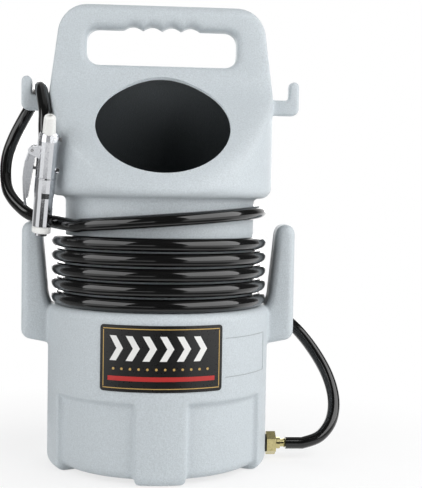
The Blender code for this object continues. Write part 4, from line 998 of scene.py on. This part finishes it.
def even_path(route, spacing):
    """Points at even steps along a smooth curve through the route."""
    padded = [2 * route[0] - route[1], *route, 2 * route[-1] - route[-2]]
    fine = []
    for a, b, c, d in zip(padded, padded[1:], padded[2:], padded[3:]):
        bend, twist = 2 * a - 5 * b + 4 * c - d, 3 * b - a - 3 * c + d
        for step in range(CURVE_STEPS):
            t = step / CURVE_STEPS
            fine.append(0.5 * (2 * b + (c - a) * t + bend * t**2 + twist * t**3))
    fine.append(route[-1])
    lengths = [0.0]
    for a, b in zip(fine, fine[1:]):
        lengths.append(lengths[-1] + (b - a).length)
    count = round(lengths[-1] / spacing)
    points = []
    at = 0
    for step in range(count + 1):
        goal = lengths[-1] * step / count
        while at < len(lengths) - 2 and lengths[at + 1] < goal:
            at += 1
        share = (goal - lengths[at]) / (lengths[at + 1] - lengths[at])
        points.append(fine[at].lerp(fine[at + 1], share))
    return points, lengths[-1]


def gun_turn():
    up = GUN_LEAN.normalized()
    away = (Vector((0, 1, 0)) - up * up.y).normalized()
    return Matrix((away.cross(up), away, up)).transposed()


def straight_on(end, before):
    return end + (end - before).normalized() * HOSE_DIAMETER


class BLASTER_OT_hose(Operator):
    """Builds the material hose in one length: gun, hook, winding round the waist, outlet"""

    bl_idname = "blaster.hose"
    bl_label = "Hose"

    def execute(self, context):
        looks = context.scene.blaster_hose
        turn = gun_turn()
        inlet_way = turn @ INLET_DIRECTION
        inlet_low = GUN_FOOT + turn @ (INLET_ROOT + INLET_DIRECTION * HOSE_ON_GUN)
        inlet_end = GUN_FOOT + turn @ (INLET_ROOT + INLET_DIRECTION * GUN_TAIL_END)
        outlet_low, outlet_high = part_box("outlet_barb")
        outlet_end = Vector((outlet_high.x, 0.0, OUTLET_Z))
        outlet_start = Vector((outlet_low.x + HOSE_ON_OUTLET, 0.0, OUTLET_Z))
        route = [inlet_low, inlet_end, inlet_end + inlet_way * HOSE_DIAMETER]
        route += [Vector(point) for point in GUN_RUN]
        coil = coil_points()
        route += [straight_on(coil[0], coil[1]), *coil, straight_on(coil[-1], coil[-2])]
        route += [Vector(point) for point in OUTLET_RUN]
        route += [outlet_end + Vector((HOSE_DIAMETER, 0, 0)), outlet_end, outlet_start]
        points, length = even_path(route, looks.step)
        curve = bpy.data.curves.new("material_hose", "CURVE")
        curve.dimensions = "3D"
        curve.bevel_depth = looks.diameter / 2
        curve.bevel_resolution = 6
        curve.use_fill_caps = True
        spline = curve.splines.new("POLY")
        spline.points.add(len(points) - 1)
        for slot, point in zip(spline.points, points):
            slot.co = (*point, 1.0)
        spline.use_smooth = True
        curve.materials.append(hose_vinyl("hose_vinyl", looks.colour))
        hose = new_object("material_hose", curve)
        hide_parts("hose_coil", "hose_gun_run", "hose_outlet_run")
        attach(hose, BODY)
        return {"FINISHED"}


# Fittings and gun


def dress(name, look, edge=0.0):
    """Gives a CAD node its finish, and rounds its edges if asked."""
    node = NODES[name]
    node.data.materials.clear()
    node.data.materials.append(look)
    if edge:
        bevel = node.modifiers.new("edges", "BEVEL")
        bevel.width = edge
        bevel.segments = 2
        bevel.limit_method = "ANGLE"
        bevel.angle_limit = math.radians(SHARP_DEG)


class BLASTER_OT_outlet(Operator):
    """Finishes the brass outlet, its washers and its lock nut"""

    bl_idname = "blaster.outlet"
    bl_label = "Outlet"

    def execute(self, context):
        looks = context.scene.blaster_metal
        brass = turned_brass("outlet_brass", looks.brass)
        rubber = pressed_rubber("washer_rubber", looks.rubber)
        for name in ("outlet_fitting", "outlet_lock_nut", "outlet_barb", "material_barb"):
            dress(name, brass, looks.edge)
        for name in ("outlet_outer_washer", "outlet_inner_washer", "stem_seal"):
            dress(name, rubber)
        return {"FINISHED"}


class BLASTER_OT_gun(Operator):
    """Finishes the plated gun, its trigger, its valve and its ceramic nozzle"""

    bl_idname = "blaster.gun"
    bl_label = "Gun"

    def return_spring(self, steel):
        """The CAD spring again, as a piece of its own in steel."""
        spring = new_object("return_spring", NODES["valve_spring"].data.copy())
        spring.matrix_world = NODES["valve_spring"].matrix_world.copy()
        spring.data.materials.clear()
        spring.data.materials.append(steel)
        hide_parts("valve_spring")
        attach(spring, BODY)
        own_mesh(spring)

    def execute(self, context):
        looks = context.scene.blaster_metal
        chrome = plated_metal("gun_chrome", looks.chrome, 0.09)
        satin = plated_metal("gun_satin", looks.chrome, 0.15)
        # Painted shade: the lever gets a darker copy of the chrome in place of its darker reflections.
        lever = plated_metal("lever_nickel", looks.lever, 0.12)
        steel = plated_metal("gun_steel", looks.steel, 0.28)
        ceramic = fired_ceramic("nozzle_ceramic", looks.ceramic)
        collar = fired_ceramic("collar_plastic", looks.collar)
        for name in ("gun_handle", "valve_plug", "air_inlet_nipple"):
            dress(name, chrome, looks.edge)
        dress("trigger_lever", lever, looks.edge)
        dress("gun_body", satin, looks.edge)
        dress("handle_joint_ring", chrome)
        for name in ("nozzle_set_screw", "trigger_pin", "valve_stem", "air_jet"):
            dress(name, steel)
        self.return_spring(steel)
        dress("blast_nozzle", ceramic, looks.nozzle_edge)
        dress("air_inlet_collar", collar, looks.collar_edge)
        return {"FINISHED"}


# Stage


def area_light(name, place, size, power):
    lamp = bpy.data.lights.new(name, "AREA")
    lamp.shape = "RECTANGLE"
    lamp.size, lamp.size_y = size
    lamp.energy = power
    made = new_object(name, lamp)
    made.location = place
    made.visible_camera = False
    made.rotation_mode = "QUATERNION"
    made.rotation_quaternion = (Vector(LAMP_AIM) - Vector(place)).to_track_quat("-Z", "Y")


class BLASTER_OT_camera(Operator):
    """Places the camera at the photograph's viewpoint"""

    bl_idname = "blaster.camera"
    bl_label = "Camera"

    def execute(self, context):
        aside, ahead = math.sin(CAMERA_YAW), math.cos(CAMERA_YAW)
        along, down = math.cos(CAMERA_PITCH), math.sin(CAMERA_PITCH)
        forward = Vector((aside * along, ahead * along, -down))
        level = Vector((ahead, -aside, 0.0))
        upright = level.cross(forward)
        right = level * math.cos(CAMERA_ROLL) + upright * math.sin(CAMERA_ROLL)
        up = upright * math.cos(CAMERA_ROLL) - level * math.sin(CAMERA_ROLL)
        data = bpy.data.cameras.new("photo_camera")
        data.sensor_fit = "AUTO"
        data.sensor_width = SENSOR
        data.lens = FOCAL_PIXELS * SENSOR / max(IMAGE_WIDTH, IMAGE_HEIGHT)
        data.clip_start, data.clip_end = 0.05, 50.0
        camera = new_object("photo_camera", data)
        turn = Matrix((right, up, -forward)).transposed().to_4x4()
        camera.matrix_world = Matrix.Translation(CAMERA_PLACE) @ turn
        context.scene.camera = camera
        return {"FINISHED"}


def combined(tree, operation, first, second):
    made = tree.nodes.new("ShaderNodeMath")
    made.operation = operation
    tree.links.new(first, made.inputs[0])
    tree.links.new(second, made.inputs[1])
    return made.outputs["Value"]


def mixed(tree, share, first, second):
    made = tree.nodes.new("ShaderNodeMixShader")
    tree.links.new(share, made.inputs["Fac"])
    tree.links.new(first, made.inputs[1])
    tree.links.new(second, made.inputs[2])
    return made.outputs["Shader"]


def painted_reflection_dark(tree, where, reach):
    """Painted reflection: where the floor's glow, seen only by glossy rays, is dark: close in front,
    between the two lights and on the left.
    """
    axes = tree.nodes.new("ShaderNodeSeparateXYZ")
    tree.links.new(where.outputs["Object"], axes.inputs["Vector"])
    forward = spread(tree, axes.outputs["Y"], FAR_AHEAD, 0.0, (-FAR_AHEAD, 0.0))
    angle = combined(tree, "ARCTAN2", axes.outputs["X"], forward)
    left_edge = spread(tree, angle, 0.0, 1.0, GAP_LEFT)
    right_edge = spread(tree, angle, 1.0, 0.0, GAP_RIGHT)
    near = spread(tree, reach, 1.0, 0.0, WHITE_PATCH_NEAR)
    right_of_white_patch = spread(tree, angle, 0.0, 1.0, WHITE_PATCH_RIGHT)
    gap = combined(tree, "MULTIPLY", left_edge, right_edge)
    gap = combined(tree, "MULTIPLY", gap, combined(tree, "MAXIMUM", near, right_of_white_patch))
    ring = spread(tree, reach, 1.0, 0.0, DARK_RING_END)
    beyond = spread(tree, reach, 0.0, 1.0, DARK_RING_START)
    front = spread(tree, axes.outputs["Y"], 1.0, 0.0, DARK_FRONT)
    ahead = combined(tree, "MULTIPLY", front, combined(tree, "MAXIMUM", ring, gap))
    left_side = spread(tree, angle, DARK_LEFT_SHARE, 0.0, DARK_LEFT)
    return combined(tree, "MULTIPLY", beyond, combined(tree, "MAXIMUM", ahead, left_side))


def mirrored_rays(tree, path):
    """1 for rays that reach here by way of metal or glass."""
    return combined(tree, "MAXIMUM", path.outputs["Is Glossy Ray"], path.outputs["Is Transmission Ray"])


def white_floor(looks):
    """A white floor that keeps the object's shadow; for glossy rays it glows as a painted reflection, dark
    between the lights.
    """
    made, tree, shader = finish("studio_floor", looks.floor, 0.9)
    shader.inputs["Specular IOR Level"].default_value = 0.0
    where = tree.nodes.new("ShaderNodeTexCoord")
    length = tree.nodes.new("ShaderNodeVectorMath")
    length.operation = "LENGTH"
    tree.links.new(where.outputs["Object"], length.inputs[0])
    reach = length.outputs["Value"]
    path = tree.nodes.new("ShaderNodeLightPath")
    mirrored = mirrored_rays(tree, path)
    seen = combined(tree, "MAXIMUM", path.outputs["Is Camera Ray"], mirrored)
    white = spread(tree, reach, looks.glow, 1.0, SHADOW_EDGE)
    glow_share = combined(tree, "MULTIPLY", white, seen)
    # Painted reflection: for glossy rays the floor glows white, dimmed in the dark zones.
    shiny = combined(tree, "MULTIPLY", painted_reflection_dark(tree, where, reach), path.outputs["Is Glossy Ray"])
    glow = tree.nodes.new("ShaderNodeEmission")
    tree.links.new(spread(tree, shiny, 1.0, ROOM_GLOW, (0.0, 1.0)), glow.inputs["Strength"])
    surface = mixed(tree, glow_share, shader.outputs["BSDF"], glow.outputs["Emission"])
    tree.links.new(surface, tree.nodes["Material Output"].inputs["Surface"])
    return made


def background(tree, strength):
    made = tree.nodes.new("ShaderNodeBackground")
    made.inputs["Color"].default_value = (1.0, 1.0, 1.0, 1.0)
    made.inputs["Strength"].default_value = strength
    return made.outputs["Background"]


def studio_world(strength):
    """White behind the object, plain soft light all round, and a dim room in front for shiny faces."""
    world = bpy.data.worlds.new("studio")
    world.use_nodes = True
    tree = world.node_tree
    where = tree.nodes.new("ShaderNodeTexCoord")
    axes = tree.nodes.new("ShaderNodeSeparateXYZ")
    tree.links.new(where.outputs["Generated"], axes.inputs["Vector"])
    path = tree.nodes.new("ShaderNodeLightPath")
    mirrored = mirrored_rays(tree, path)
    backdrop = spread(tree, axes.outputs["Y"], 0.0, 1.0, WHITE_BEHIND)
    behind = combined(tree, "MULTIPLY", backdrop, mirrored)
    seen = combined(tree, "MAXIMUM", path.outputs["Is Camera Ray"], behind)
    lit = mixed(tree, mirrored, background(tree, strength), background(tree, ROOM_GLOW))
    surface = mixed(tree, seen, lit, background(tree, 1.0))
    tree.links.new(surface, tree.nodes["World Output"].inputs["Surface"])
    return world


class BLASTER_OT_stage(Operator):
    """Builds the pale floor, the soft lights and the white surroundings"""

    bl_idname = "blaster.stage"
    bl_label = "Stage"

    def execute(self, context):
        looks = context.scene.blaster_stage
        ring = circle(FLOOR_R, 0.0, FLOOR_SIDES)
        floor = new_object("studio_floor", mesh_from("studio_floor", ring, [tuple(range(FLOOR_SIDES))]))
        floor.location.z = CAD_BOX[0].z - FLOOR_GAP
        floor.data.materials.append(white_floor(looks))
        for name, setting, place, size in LAMPS:
            area_light(name, place, size, getattr(looks, setting))
        context.scene.world = studio_world(looks.world)
        context.scene.view_settings.view_transform = "Standard"
        return {"FINISHED"}


class BLASTER_PT_panel(Panel):
    """Lists the blaster's building steps"""

    bl_idname = "BLASTER_PT_panel"
    bl_label = "Abrasive Blaster"
    bl_space_type = "VIEW_3D"
    bl_region_type = "UI"
    bl_category = "Blaster"

    def draw(self, context):
        for operator in OPERATORS:
            self.layout.operator(operator.bl_idname)
        for name in LOOKS:
            box = self.layout.box()
            group = getattr(context.scene, name)
            for key in group.__annotations__:
                box.prop(group, key)


OPERATORS = (
    BLASTER_OT_camera,
    BLASTER_OT_hose,
    BLASTER_OT_hopper,
    BLASTER_OT_label,
    BLASTER_OT_panel,
    BLASTER_OT_outlet,
    BLASTER_OT_gun,
    BLASTER_OT_stage,
)
LOOKS = {
    "blaster_hopper": HopperLooks,
    "blaster_label": LabelLooks,
    "blaster_hose": HoseLooks,
    "blaster_metal": MetalLooks,
    "blaster_stage": StageLooks,
}


def register():
    for group in LOOKS.values():
        bpy.utils.register_class(group)
    for name, group in LOOKS.items():
        setattr(bpy.types.Scene, name, PointerProperty(type=group))
    for operator in OPERATORS:
        bpy.utils.register_class(operator)
    bpy.utils.register_class(BLASTER_PT_panel)


def unregister():
    bpy.utils.unregister_class(BLASTER_PT_panel)
    for operator in reversed(OPERATORS):
        bpy.utils.unregister_class(operator)
    for name, group in reversed(LOOKS.items()):
        delattr(bpy.types.Scene, name)
        bpy.utils.unregister_class(group)


def main():
    register()
    bpy.ops.blaster.camera()
    bpy.ops.blaster.hose()
    bpy.ops.blaster.hopper()
    bpy.ops.blaster.label()
    bpy.ops.blaster.panel()
    bpy.ops.blaster.outlet()
    bpy.ops.blaster.gun()
    bpy.ops.blaster.stage()


if __name__ == "__main__":
    main()
